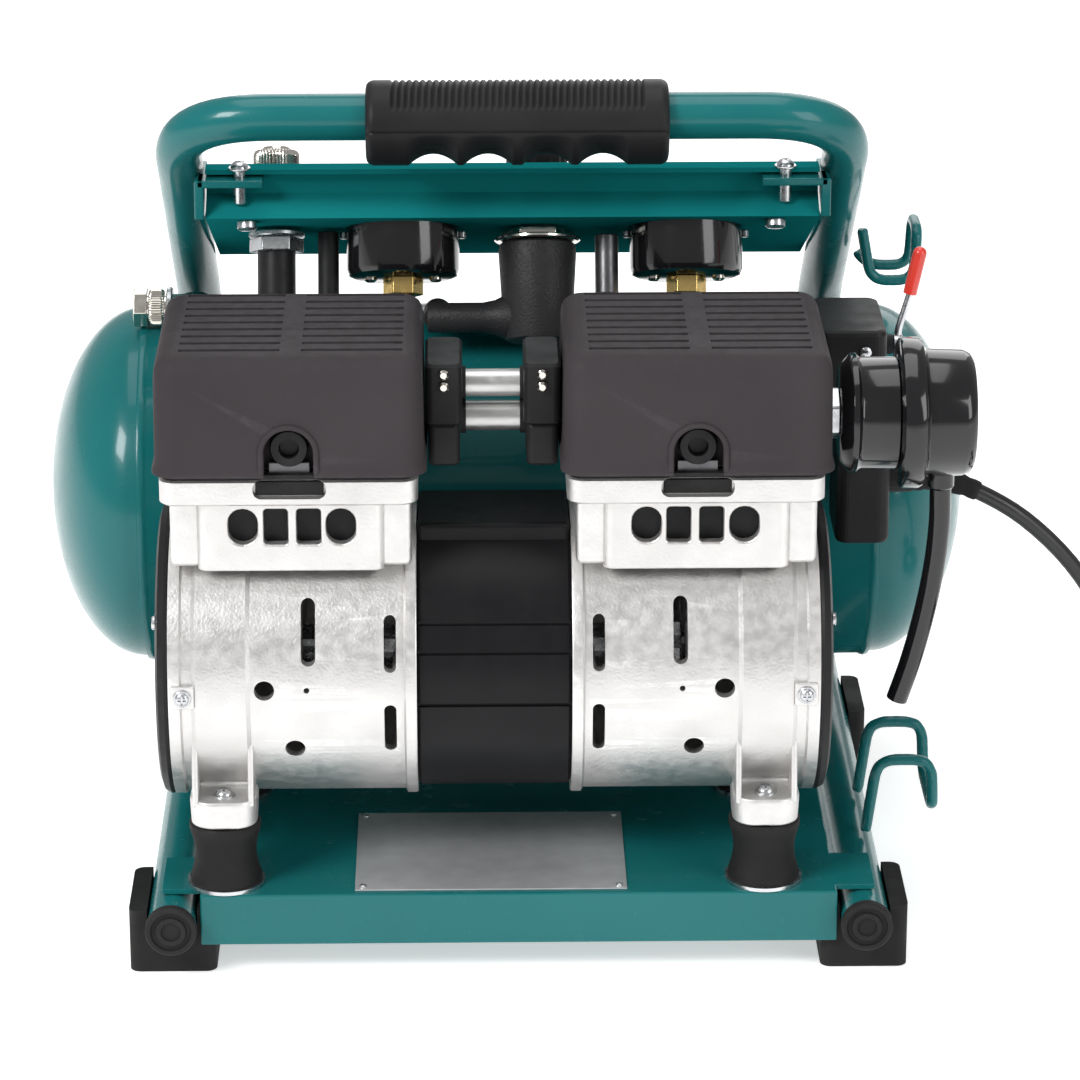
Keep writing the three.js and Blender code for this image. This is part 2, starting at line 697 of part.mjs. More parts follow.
function cordCoil() {
  const outline = [
    [coil.inner, 0.3], [coil.outer, 0.3], [coil.outer, coil.high], [coil.inner, coil.high],
    [coil.inner, 0.3],
  ];
  return turnedZ(outline, coil.x, coil.y, 32);
}

// Lies on the floor beside the coil with its pins towards the front.
function mainsPlug() {
  const x = coil.x + 34.6;
  const z = 18.8;
  const neck = bar("y", 8, 56, 73, x, z, 16, 5);
  const body = bar("y", 18.5, 23, 57, x, z, 24);
  const pins = [-9.5, 9.5].map((dx) => bar("y", 2.3, 4, 24, x + dx, z, 12));
  return join(neck, body, ...pins);
}

// ---- assembly

const assembly = new THREE.Group();
assembly.name = "air_compressor";
assembly.position.set(-footprint.x, -footprint.y, 0);

function add(name, geometry, look) {
  const mesh = new THREE.Mesh(geometry, new THREE.MeshStandardMaterial(materials[look]));
  mesh.name = name;
  assembly.add(mesh);
}

const sides = [["left", -1], ["right", 1]];

add("frame_tube", frameTube(), "teal");
add("base_plate", basePlate(), "teal");
add("handle_grip", handleGrip(), "black");
add("cord_hook_upper", cordHook(142.5, 210, 164, 231, 218, 240, 232, 216), "teal");
add("cord_hook_lower", cordHook(136, 61, 161, 40, 68, 107, 31, 31), "teal");
for (const [name, side] of sides) {
  add(`rail_plug_${name}`, railPlug(side), "rubber");
  add(`foot_pad_front_${name}`, footPad(side, 10.5, 52), "rubber");
  add(`foot_pad_rear_${name}`, footPad(side, 205, 247), "rubber");
  add(`rubber_mount_front_${name}`, rubberMount(pumpX + side * mountX, mountYs[0]), "rubber");
  add(`rubber_mount_rear_${name}`, rubberMount(pumpX + side * mountX, mountYs[1]), "rubber");
}

add("tank_shell", tankShell(), "teal");
add("tank_saddle_left", tankSaddle(-92), "teal");
add("tank_saddle_right", tankSaddle(92), "teal");
add("drain_valve_screw", drainValveScrew(), "brass");
add("tank_fitting", tankFitting(), "nickel");

add("motor_stator", motorStator(), "motor");
add("rotor_shaft", rotorShaft(), "steel");
for (const [name, side] of sides) {
  const x = headX[side < 0 ? 0 : 1];
  add(`crankcase_${name}`, crankcase(side), "cast");
  add(`cooling_fan_${name}`, coolingFan(side), "black");
  add(`fan_cover_${name}`, fanCover(side), "black");
  add(`cylinder_liner_${name}`, cylinderLiner(x), "steel");
  add(`piston_rod_${name}`, pistonRod(x), "cast");
  add(`cylinder_head_${name}`, cylinderHead(x), "cast");
  add(`head_cover_${name}`, headCover(x), "cover");
  add(`manifold_block_${name}`, manifoldBlock(side), "black");
}
add("crossover_tube_upper", crossoverTube(218.5), "steel");
add("crossover_tube_lower", crossoverTube(205.5), "steel");

add("intake_nipple", intakeNipple(), "steel");
add("intake_filter_body", intakeFilterBody(), "gloss");
add("intake_filter_cap", intakeFilterCap(), "gloss");
add("intake_tube", intakeTube(), "gloss");

add("switch_box", switchBox(), "black");
add("switch_lever", switchLever(), "steel");

add("console_panel", consolePanel(), "teal");
add("gauge_left", gauge(gaugeXs[0]), "black");
add("gauge_right", gauge(gaugeXs[1]), "black");
add("gauge_needle_left", gaugeNeedle(gaugeXs[0]), "black");
add("gauge_needle_right", gaugeNeedle(gaugeXs[1]), "black");
add("regulator_body", regulatorBody(), "black");
add("regulator_knob", regulatorKnob(), "black");
add("panel_coupling_body", panelCouplingPlace(couplingBody()), "nickel");
add("panel_coupling_sleeve", panelCouplingPlace(couplingSleeve()), "nickel");
add("left_pipe", leftPipe(), "black");
add("right_pipe", panelPipe(37.7, 4.4, 7), "black");

add("mains_cord", mainsCord(), "rubber");
add("cord_coil", cordCoil(), "rubber");
add("mains_plug", mainsPlug(), "rubber");

export default assembly;
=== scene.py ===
"""Looks of the portable air compressor: camera, cords, fine meshes and materials.

Everything is in metres, in the frame's own axes: +X along the motor, +Y towards the tank, +Z up.
"""

import json
import math

import bmesh
import bpy
from mathutils import Matrix, Vector

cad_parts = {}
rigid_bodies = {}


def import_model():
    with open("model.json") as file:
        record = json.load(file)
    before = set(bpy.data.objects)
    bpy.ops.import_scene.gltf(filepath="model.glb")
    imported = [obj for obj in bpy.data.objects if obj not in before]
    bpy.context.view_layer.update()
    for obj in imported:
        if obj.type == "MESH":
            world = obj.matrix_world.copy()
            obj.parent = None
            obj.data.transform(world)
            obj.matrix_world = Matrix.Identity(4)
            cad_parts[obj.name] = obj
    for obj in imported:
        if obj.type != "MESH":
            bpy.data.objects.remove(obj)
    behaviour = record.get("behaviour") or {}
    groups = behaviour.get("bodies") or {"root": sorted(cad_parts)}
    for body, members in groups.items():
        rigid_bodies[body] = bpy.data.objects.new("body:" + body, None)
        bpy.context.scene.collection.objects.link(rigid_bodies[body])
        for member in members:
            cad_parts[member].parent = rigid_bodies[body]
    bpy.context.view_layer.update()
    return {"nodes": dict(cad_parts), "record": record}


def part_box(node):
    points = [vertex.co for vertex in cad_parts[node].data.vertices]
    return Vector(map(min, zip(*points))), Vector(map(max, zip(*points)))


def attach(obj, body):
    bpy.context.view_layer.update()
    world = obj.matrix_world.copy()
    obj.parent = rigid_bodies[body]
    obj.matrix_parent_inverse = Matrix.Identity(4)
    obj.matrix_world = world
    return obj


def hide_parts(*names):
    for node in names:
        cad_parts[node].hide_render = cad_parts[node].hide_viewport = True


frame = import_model()
nodes = frame["nodes"]

MM = 0.001
# The row frame's shift from the design's own axes: the frame's middle plane and the rails' front ends.
MIDDLE_X = 2 * MM
FRONT_Y = -159.075 * MM


def place(x, y, z):
    """A point given in millimetres from the frame's middle plane and the rails' front ends."""
    return Vector((x * MM + MIDDLE_X, y * MM + FRONT_Y, z * MM))


def add_to_scene(obj):
    members = bpy.context.scene.collection.objects
    if obj.name not in members:
        members.link(obj)


# ---- camera, light and floor

CAMERA_PITCH = math.radians(20)
CAMERA_YAW = math.radians(-1.0)
CAMERA_LENS = 151.8


def make_camera():
    data = bpy.data.cameras.new("camera")
    data.lens = CAMERA_LENS
    data.sensor_width = 36
    data.clip_start = 0.1
    data.clip_end = 20
    camera = bpy.data.objects.new("camera", data)
    camera.location = place(-19.5, -1562, 746)
    camera.rotation_euler = (math.pi / 2 - CAMERA_PITCH, 0, CAMERA_YAW)
    add_to_scene(camera)
    bpy.context.scene.camera = camera


def area_light(name, location, target, size, power, tall=None):
    data = bpy.data.lights.new(name, "AREA")
    data.energy = power
    data.shape = "RECTANGLE"
    data.size = size
    data.size_y = tall or size
    light = bpy.data.objects.new(name, data)
    light.location = location
    light.rotation_euler = (Vector(target) - Vector(location)).to_track_quat("-Z", "Y").to_euler()
    add_to_scene(light)


def make_lights():
    area_light("key", (-1.3, -1.3, 1.5), (0, 0, 0.12), 0.7, 34)
    area_light("fill", (1.5, -1.4, 0.9), (0, 0, 0.12), 0.8, 13, 1.2)
    area_light("top", (0, 0.1, 1.9), (0, 0, 0.1), 1.4, 14)
    area_light("back", (0.3, 1.7, 1.1), (0, 0, 0.2), 1.4, 10)
    world = bpy.data.worlds.new("studio")
    world.use_nodes = True
    background = world.node_tree.nodes["Background"]
    background.inputs["Color"].default_value = (1, 1, 1, 1)
    background.inputs["Strength"].default_value = 0.4
    bpy.context.scene.world = world
    bpy.context.scene.view_settings.view_transform = "Standard"


def make_floor():
    mesh = bpy.data.meshes.new("floor")
    floor = bpy.data.objects.new("floor", mesh)
    bm = bmesh.new()
    bmesh.ops.create_grid(bm, x_segments=1, y_segments=1, size=8)
    bm.to_mesh(mesh)
    bm.free()
    floor.location.z = -0.0002
    add_to_scene(floor)
    material = bpy.data.materials.new("floor_pale")
    material.use_nodes = True
    shader = material.node_tree.nodes["Principled BSDF"]
    shader.inputs["Base Color"].default_value = (0.93, 0.93, 0.93, 1)
    shader.inputs["Roughness"].default_value = 0.6
    shader.inputs["Emission Color"].default_value = (1, 1, 1, 1)
    shader.inputs["Emission Strength"].default_value = 0.5
    mesh.materials.append(material)


# ---- materials


class Nodes:
    """Small helper that builds one material's node tree."""

    def __init__(self, name):
        self.material = bpy.data.materials.new(name)
        self.material.use_nodes = True
        self.tree = self.material.node_tree
        self.shader = self.tree.nodes["Principled BSDF"]
        self.where = self.tree.nodes.new("ShaderNodeTexCoord").outputs["Object"]

    def set(self, socket, value):
        self.shader.inputs[socket].default_value = value

    def link(self, a, b):
        self.tree.links.new(a, b)

    def noise(self, scale, detail=3.0, rough=0.5, stretch=None):
        node = self.tree.nodes.new("ShaderNodeTexNoise")
        node.inputs["Scale"].default_value = scale
        node.inputs["Detail"].default_value = detail
        node.inputs["Roughness"].default_value = rough
        source = self.where
        if stretch:
            mapping = self.tree.nodes.new("ShaderNodeMapping")
            mapping.inputs["Scale"].default_value = stretch
            self.link(self.where, mapping.inputs["Vector"])
            source = mapping.outputs["Vector"]
        self.link(source, node.inputs["Vector"])
        return node.outputs["Fac"]

    def ramp(self, source, low, high, start=0.35, end=0.65):
        node = self.tree.nodes.new("ShaderNodeMapRange")
        node.inputs["From Min"].default_value = start
        node.inputs["From Max"].default_value = end
        node.inputs["To Min"].default_value = low
        node.inputs["To Max"].default_value = high
        self.link(source, node.inputs["Value"])
        return node.outputs["Result"]

    def blend(self, factor, first, second):
        node = self.tree.nodes.new("ShaderNodeMix")
        node.data_type = "RGBA"
        self.link(factor, node.inputs["Factor"])
        for socket, value in (("A", first), ("B", second)):
            target = [i for i in node.inputs if i.name == socket and i.type == "RGBA"][0]
            if isinstance(value, bpy.types.NodeSocket):
                self.link(value, target)
            else:
                target.default_value = (*value, 1)
        return [o for o in node.outputs if o.type == "RGBA"][0]

    def bump(self, height, strength, distance):
        node = self.tree.nodes.new("ShaderNodeBump")
        node.inputs["Strength"].default_value = strength
        node.inputs["Distance"].default_value = distance
        self.link(height, node.inputs["Height"])
        if self.shader.inputs["Normal"].is_linked:
            before = self.shader.inputs["Normal"].links[0].from_socket
            self.link(before, node.inputs["Normal"])
        self.link(node.outputs["Normal"], self.shader.inputs["Normal"])

    def edge_wear(self, base, worn, amount):
        """Lightens the corners, where Geometry's pointiness is high, broken up by noise."""
        geometry = self.tree.nodes.new("ShaderNodeNewGeometry")
        edge = self.ramp(geometry.outputs["Pointiness"], 0, amount, 0.52, 0.6)
        patch = self.ramp(self.noise(260, 4), 0.2, 1)
        both = self.tree.nodes.new("ShaderNodeMath")
        both.operation = "MULTIPLY"
        self.link(edge, both.inputs[0])
        self.link(patch, both.inputs[1])
        return self.blend(both.outputs["Value"], base, worn)


def finish_of(name, base, second, rough, metal=0.0, coat=0.0, coat_rough=0.06, gloss=0.5, mottle=18,
              grain=None, relief=None, wear=None):
    """A material whose colour and roughness vary softly.

    Grain is (scale, strength, depth in metres), relief is (noise settings, strength, depth) for a coarser
    or brushed surface, and wear is (colour of the worn corners, amount).
    """
    made = Nodes(name)
    made.set("Metallic", metal)
    made.set("Specular IOR Level", gloss)
    made.set("Coat Weight", coat)
    made.set("Coat Roughness", coat_rough)
    colour = made.blend(made.ramp(made.noise(mottle, 5), 0, 1, 0.3, 0.7), base, second)
    if wear:
        colour = made.edge_wear(colour, *wear)
    made.link(colour, made.shader.inputs["Base Color"])
    made.link(made.ramp(made.noise(mottle * 4, 4), rough[0], rough[1]), made.shader.inputs["Roughness"])
    if grain:
        made.bump(made.noise(grain[0], 2), grain[1], grain[2])
    if relief:
        made.bump(made.noise(*relief[0]), relief[1], relief[2])
    return made.material


def teal_paint():
    return finish_of("teal_paint", (0.006, 0.12, 0.124), (0.008, 0.132, 0.136), (0.2, 0.28),
                     coat=0.2, coat_rough=0.05, grain=(260, 0.05, 0.0004), gloss=0.2)


# A lighter, matte copy of the teal paint: its extra lightness is painted light, standing in for light
# falling on the console's ledge.
def console_teal_with_painted_light():
    return finish_of("console_teal_with_painted_light", (0.006, 0.18, 0.185), (0.008, 0.195, 0.2), (0.6, 0.7),
                     grain=(400, 0.12, 0.0003), gloss=0.0)


def black_plastic():
    return finish_of("black_plastic", (0.011, 0.011, 0.012), (0.017, 0.017, 0.018), (0.4, 0.55),
                     grain=(1500, 0.12, 0.0002), wear=((0.03, 0.03, 0.032), 0.4), gloss=0.15)


def textured_casting():
    return finish_of("textured_casting", (0.016, 0.016, 0.017), (0.024, 0.024, 0.026), (0.42, 0.6),
                     grain=(1100, 0.6, 0.0005), wear=((0.05, 0.05, 0.05), 0.4), gloss=0.3)


def black_rubber():
    return finish_of("black_rubber", (0.009, 0.009, 0.009), (0.015, 0.014, 0.014), (0.6, 0.78),
                     grain=(900, 0.25, 0.0003), wear=((0.035, 0.033, 0.032), 0.5), gloss=0.2)


def hood_plastic():
    return finish_of("hood_plastic", (0.038, 0.033, 0.036), (0.046, 0.041, 0.044), (0.5, 0.62),
                     grain=(1400, 0.35, 0.0003), wear=((0.07, 0.065, 0.07), 0.4), gloss=0.04)


def gloss_black():
    return finish_of("gloss_black", (0.005, 0.005, 0.006), (0.008, 0.008, 0.009), (0.1, 0.18),
                     coat=0.5, grain=(240, 0.06, 0.0003), gloss=0.3)


def cast_aluminium():
    return finish_of("cast_aluminium", (0.6, 0.59, 0.58), (0.68, 0.67, 0.66), (0.38, 0.5), metal=0.9,
                     grain=(900, 0.35, 0.0004), relief=((200, 3, 0.5), 0.12, 0.0004),
                     wear=((0.9, 0.9, 0.89), 0.6), mottle=60)


def satin_aluminium():
    return finish_of("satin_aluminium", (0.5, 0.5, 0.49), (0.58, 0.58, 0.57), (0.3, 0.42), metal=0.9,
                     relief=((300, 3, 0.5, (0.3, 8, 8)), 0.1, 0.0002), mottle=80)


def zinc_steel():
    return finish_of("zinc_steel", (0.5, 0.51, 0.53), (0.62, 0.63, 0.64), (0.22, 0.36), metal=1.0,
                     relief=((500, 2, 0.5, (1, 6, 6)), 0.1, 0.0002), mottle=90)


def steel_dark():
    return finish_of("steel_dark", (0.1, 0.1, 0.105), (0.15, 0.15, 0.155), (0.3, 0.42), metal=0.8,
                     grain=(500, 0.1, 0.0002), mottle=80)


def nickel():
    return finish_of("nickel", (0.62, 0.59, 0.53), (0.7, 0.67, 0.62), (0.12, 0.22), metal=1.0,
                     grain=(300, 0.06, 0.0002), mottle=70)


def brass():
    return finish_of("brass", (0.62, 0.42, 0.14), (0.72, 0.52, 0.2), (0.2, 0.32), metal=1.0,
                     grain=(700, 0.1, 0.0002), mottle=80)


def motor_black():
    return finish_of("motor_black", (0.006, 0.006, 0.007), (0.009, 0.009, 0.01), (0.36, 0.42),
                     relief=((20, 3, 0.5, (40, 1, 1)), 0.1, 0.0002), mottle=40, gloss=0.15)


def cable_pvc():
    return finish_of("cable_pvc", (0.01, 0.01, 0.011), (0.016, 0.016, 0.017), (0.3, 0.42),
                     grain=(700, 0.12, 0.0002))


def red_vinyl():
    return finish_of("red_vinyl", (0.62, 0.035, 0.022), (0.7, 0.05, 0.03), (0.25, 0.36), coat=0.3,
                     grain=(600, 0.08, 0.0002))


def plate_silver():
    return finish_of("plate_silver", (0.55, 0.56, 0.57), (0.64, 0.65, 0.66), (0.3, 0.42), metal=0.6,
                     relief=((260, 3, 0.5, (0.3, 12, 1)), 0.08, 0.0002), mottle=120)


def dial_white():
    return finish_of("dial_white", (0.78, 0.78, 0.76), (0.84, 0.84, 0.82), (0.3, 0.4),
                     grain=(400, 0.03, 0.0001))


MATERIALS = {
    make.__name__: make()
    for make in (
        teal_paint, console_teal_with_painted_light, black_plastic, textured_casting, black_rubber, hood_plastic, gloss_black,
        cast_aluminium, satin_aluminium, zinc_steel, steel_dark, nickel, brass, motor_black, cable_pvc,
        red_vinyl, plate_silver, dial_white,
    )
}


# ---- making pieces


def join_body(obj, body, material):
    """Links a finished piece, gives it its material and lets it ride on its CAD body."""
    add_to_scene(obj)
    obj.data.materials.clear()
    obj.data.materials.append(MATERIALS[material])
    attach(obj, body)
    return obj


# ---- shape helpers

TILT = math.radians(24)
ORIGIN = Vector((0, 0, 0))
# Faces that meet at more than this many degrees keep a sharp edge between them.
SHARP = 35
AXES = {
    "x": (Vector((0, 1, 0)), Vector((0, 0, 1)), Vector((1, 0, 0))),
    "y": (Vector((0, 0, 1)), Vector((1, 0, 0)), Vector((0, 1, 0))),
    "z": (Vector((1, 0, 0)), Vector((0, 1, 0)), Vector((0, 0, 1))),
    "front": (Vector((1, 0, 0)), Vector((0, 0, 1)), Vector((0, -1, 0))),
    "panel": (Vector((1, 0, 0)), Vector((0, math.cos(TILT), -math.sin(TILT))),
              Vector((0, math.sin(TILT), math.cos(TILT)))),
}


def extents(node):
    """A CAD node's box in design millimetres: (x0, x1, y0, y1, z0, z1)."""
    low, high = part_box(node)
    shift = (MIDDLE_X, FRONT_Y, 0)
    return [value / MM for a, b, c in zip(low, high, shift) for value in (a - c, b - c)]


def middle(node):
    """The middle of a CAD node's box in design millimetres: (x, y, z)."""
    x0, x1, y0, y1, z0, z1 = extents(node)
    return (x0 + x1) / 2, (y0 + y1) / 2, (z0 + z1) / 2


def solid(name, points, faces, sharp=SHARP):
    """A closed mesh from design-millimetre points, shaded smooth except at its sharp edges."""
    mesh = bpy.data.meshes.new(name)
    mesh.from_pydata([place(*p) for p in points], [], faces)
    bm = bmesh.new()
    bm.from_mesh(mesh)
    bmesh.ops.remove_doubles(bm, verts=bm.verts, dist=0.000001)
    bmesh.ops.recalc_face_normals(bm, faces=bm.faces)
    bm.to_mesh(mesh)
    bm.free()
    mesh.shade_smooth()
    mesh.set_sharp_from_angle(angle=math.radians(sharp))
    return bpy.data.objects.new(name, mesh)


def bands(rows, count):
    """The faces between closed rings of count points each, with a cap on the first and the last."""
    faces = [tuple(range(count)), tuple(range((rows - 1) * count, rows * count))]
    for row in range(rows - 1):
        here, there = row * count, (row + 1) * count
        for k in range(count):
            after = (k + 1) % count
            faces.append((here + k, here + after, there + after, there + k))
    return faces


def skin(name, stations, radius_at, centre, axis, sides):
    """A body round an axis: radius_at(along, angle) gives its radius at each station."""
    u, v, w = AXES[axis]
    points = []
    for along in stations:
        for k in range(sides):
            angle = 2 * math.pi * k / sides
            radius = radius_at(along, angle)
            points.append(centre + w * along + (u * math.cos(angle) + v * math.sin(angle)) * radius)
    return solid(name, points, bands(len(stations), sides))


def turned(name, profile, centre, axis="z", sides=64):
    """Spins (radius, along) points about an axis; a profile that starts off the axis closes on itself."""
    u, v, w = AXES[axis]
    ring = profile[0][0] > 0
    points = []
    for k in range(sides):
        angle = 2 * math.pi * k / sides
        out = u * math.cos(angle) + v * math.sin(angle)
        points += [centre + out * radius + w * along for radius, along in profile]
    count = len(profile)
    faces = []
    for k in range(sides):
        here, there = k * count, (k + 1) % sides * count
        for i in range(count if ring else count - 1):
            j = (i + 1) % count
            corners = [here + i, here + j, there + j, there + i]
            if not ring and i == 0:
                corners = [here, here + 1, there + 1]
            elif not ring and i == count - 2:
                corners = [here + i, here + j, there + i]
            faces.append(tuple(corners))
    return solid(name, points, faces)


def rod(name, centre, axis, radius, start, end, sides=48, chamfer=0.5):
    profile = [(0, start), (radius - chamfer, start), (radius, start + chamfer), (radius, end - chamfer),
               (radius - chamfer, end), (0, end)]
    return turned(name, profile, centre, axis, sides)


def prism(name, outline, start, end, centre, axis):
    """A flat outline pushed along an axis from start to end."""
    u, v, w = AXES[axis]
    points = [centre + u * a + v * b + w * along for along in (start, end) for a, b in outline]
    return solid(name, points, bands(2, len(outline)))


def rounded(half_a, half_b, radius, steps=6):
    """A rectangle's outline with round corners, about the origin."""
    outline = []
    for quarter, (sa, sb) in enumerate(((1, 1), (-1, 1), (-1, -1), (1, -1))):
        for k in range(steps + 1):
            angle = math.pi / 2 * (quarter + k / steps)
            outline.append((sa * (half_a - radius) + radius * math.cos(angle),
                            sb * (half_b - radius) + radius * math.sin(angle)))
    return outline


def hexagon(across):
    """A six-sided outline, given its width across the flats."""
    corner = across / math.sqrt(3)
    return [(corner * math.cos(math.pi / 3 * k), corner * math.sin(math.pi / 3 * k)) for k in range(6)]


def box(name, x0, x1, y0, y1, z0, z1):
    points = [(x, y, z) for x in (x0, x1) for y in (y0, y1) for z in (z0, z1)]
    faces = [(0, 1, 3, 2), (4, 5, 7, 6), (0, 1, 5, 4), (2, 3, 7, 6), (0, 2, 6, 4), (1, 3, 7, 5)]
    return solid(name, points, faces, 180)


def block(name, x0, x1, y0, y1, z0, z1, radius=1.0):
    """A box with every edge rounded."""
    return soften(box(name, x0, x1, y0, y1, z0, z1), radius, 4)


def soften(obj, width, segments=3):
    modifier = obj.modifiers.new("round", "BEVEL")
    modifier.limit_method = "ANGLE"
    modifier.angle_limit = math.radians(SHARP)
    modifier.width = width * MM
    modifier.segments = segments
    obj.modifiers.new("normals", "WEIGHTED_NORMAL").keep_sharp = True
    return obj


def lofted(name, rings, steps=8):
    """A body through level round-cornered rectangles, each (z, x0, x1, y0, y1, corner radius)."""
    points = []
    for z, x0, x1, y0, y1, radius in rings:
        for a, b in rounded((x1 - x0) / 2, (y1 - y0) / 2, radius, steps):
            points.append(((x0 + x1) / 2 + a, (y0 + y1) / 2 + b, z))
    return solid(name, points, bands(len(rings), 4 * (steps + 1)))


def bent(points, reach):
    """A polyline with its corners rounded; reach is how far from its corner each bend starts."""
    points = [Vector(p) for p in points]
    out = [points[0]]
    for i in range(1, len(points) - 1):
        start = reach[i - 1] if isinstance(reach, list) else reach
        before = points[i] + (points[i - 1] - points[i]).normalized() * start
        after = points[i] + (points[i + 1] - points[i]).normalized() * start
        for k in range(13):
            t = k / 12
            out.append(before * (1 - t) ** 2 + points[i] * 2 * t * (1 - t) + after * t * t)
    return [*out, points[-1]]


def swept(name, points, radius, sides=20):
    return tube_curve(name, [place(*p) for p in points], radius * MM, sides)


def merged(name, *objects):
    """One object from several, kept as they are."""
    whole = bmesh.new()
    for obj in objects:
        whole.from_mesh(obj.data)
        bpy.data.objects.remove(obj)
    mesh = bpy.data.meshes.new(name)
    whole.to_mesh(mesh)
    whole.free()
    return bpy.data.objects.new(name, mesh)


def carve(obj, *cutters):
    """Cuts the cutters' shapes out of a piece for good."""
    add_to_scene(obj)
    for cutter in cutters:
        add_to_scene(cutter)
        modifier = obj.modifiers.new("cut", "BOOLEAN")
        modifier.object = cutter
        modifier.solver = "EXACT"
        modifier.use_self = True
    seen = obj.evaluated_get(bpy.context.evaluated_depsgraph_get())
    obj.data = bpy.data.meshes.new_from_object(seen)
    obj.modifiers.clear()
    for cutter in cutters:
        bpy.data.objects.remove(cutter)
    obj.data.set_sharp_from_angle(angle=math.radians(SHARP))
    return obj


def lay(piece, at, turn):
    """Turns a piece made about the design's origin, then carries that origin to a point."""
    piece.data.transform(Matrix.Translation(place(*at)) @ turn @ Matrix.Translation(-place(*ORIGIN)))
    return piece


def show(obj, slot, material=None, body="frame", replaces=(), width=0.0):
    """Finishes a piece: its corners, its material, its body and the CAD nodes it stands for."""
    if width:
        soften(obj, width)
    join_body(obj, body, material or slot)
    if replaces:
        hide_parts(*replaces)
    return obj


def screw(name, centre, axis, radius, height):
    """A cross-head screw on a washer, pointing along its axis."""
    thick = 0.8
    washer = rod(name + "_washer", centre, axis, radius * 1.25, 0, thick, 32, 0.2)
    dome = [(radius * math.cos(a), thick + (height - thick) * math.sin(a))
            for a in (math.pi / 2 * k / 6 for k in range(6))]
    head = turned(name, [(0, thick - 0.1), *dome, (0, height)], centre, axis, 32)
    slots = [prism("cross", rounded(*size, 0.2, 1), height - 0.9, height + 1, centre, axis)
             for size in ((radius * 0.6, radius * 0.14), (radius * 0.14, radius * 0.6))]
    head = carve(head, *slots)
    show(washer, "zinc_steel")
    show(head, "zinc_steel", width=0.25)


# ---- the frame

TUBE = 9.15
BENDS = [52, 44, 38, 38, 44, 52]
KNEE_Z = 168
BAR_Y = 148


def make_frame_tube():
    x1, y0, y1, z0, z1 = extents("frame_tube")[1:]
    rail_x, back_y, rail_z, bar_z = x1 - TUBE, y1 - TUBE, z0 + TUBE, z1 - TUBE
    half = [(y0, rail_z), (back_y, rail_z), (back_y, KNEE_Z), (BAR_Y, bar_z)]
    corners = [(-rail_x, y, z) for y, z in half] + [(rail_x, y, z) for y, z in reversed(half)]
    tube = swept("frame_tube_skin", bent(corners, BENDS), TUBE, 32)
    show(tube, "teal_paint", replaces=["frame_tube"])
    top = extents("console_panel")[5] - 3
    for side in (-1, 1):
        flank = sorted((side * (rail_x - TUBE + 3), side * (rail_x - TUBE - 0.8)))
        tab = sorted((side * (rail_x - TUBE + 2), side * (rail_x - TUBE - 24)))
        show(block("bracket_flank", *flank, 165, 196, 252, top, 0.6), "teal_paint")
        show(block("bracket_tab", *tab, 165, 177, top - 3, top, 0.6), "teal_paint")
    profile = [(0, 0.8), (3.4, 0.8), (3.8, 0), (5.6, 0), (6.0, 0.9), (7.4, 0.9), (7.8, 0), (9.2, 0),
               (9.75, 0.6), (9.75, 3.7), (0, 3.7)]
    for name, side in SIDES:
        plug = turned(f"rail_plug_{name}_skin", profile, Vector((side * rail_x, 0, rail_z)), "y", 64)
        show(plug, "black_rubber", replaces=[f"rail_plug_{name}"])


def make_grip():
    x0, x1, y0, y1, _, z1 = extents("handle_grip")
    middle_x, half = (x0 + x1) / 2, (x1 - x0) / 2
    radius = (y1 - y0) / 2
    centre = Vector((middle_x, (y0 + y1) / 2, z1 - radius))
    grooves = (-32.5, -11.3, 11.5, 33.1)

    def grip_radius(along, angle):
        up = math.sin(angle)
        out = radius
        if up > 0.5 and abs(along) < 49:
            out -= 0.8 * min(1, (up - 0.5) * 8) * (0.5 - 0.5 * math.cos(2 * math.pi * along / 2.6)) ** 2
        out -= 0.55 * math.exp(-((up / 0.035) ** 2))
        for at in grooves:
            reach = abs(along - at) / 9.6
            if up < 0 and reach < 1:
                out -= 4.4 * (1 - reach ** 2) * min(1, -up * 1.6)
        ends = max(0.0, (abs(along) - half + 3.5) / 3.5)
        return out - 3 * (1 - math.sqrt(max(0.0, 1 - ends ** 2)))

    stations = [-half + 2 * half * k / 360 for k in range(361)]
    show(skin("grip_skin", stations, grip_radius, centre, "x", 120), "black_plastic",
         replaces=["handle_grip"])


def make_hooks():
    """The hooks keep their CAD wire, welded and smoothed."""
    for node in ("cord_hook_upper", "cord_hook_lower"):
        obj = nodes[node]
        modifier = obj.modifiers.new("weld", "WELD")
        modifier.merge_threshold = 0.00002
        obj.modifiers.new("smooth", "SUBSURF").levels = 2
        obj.modifiers["smooth"].render_levels = 2


# ---- the tank and its fittings

FITTING_Y = 205
FITTING_Z = 204
RISER_X = -128


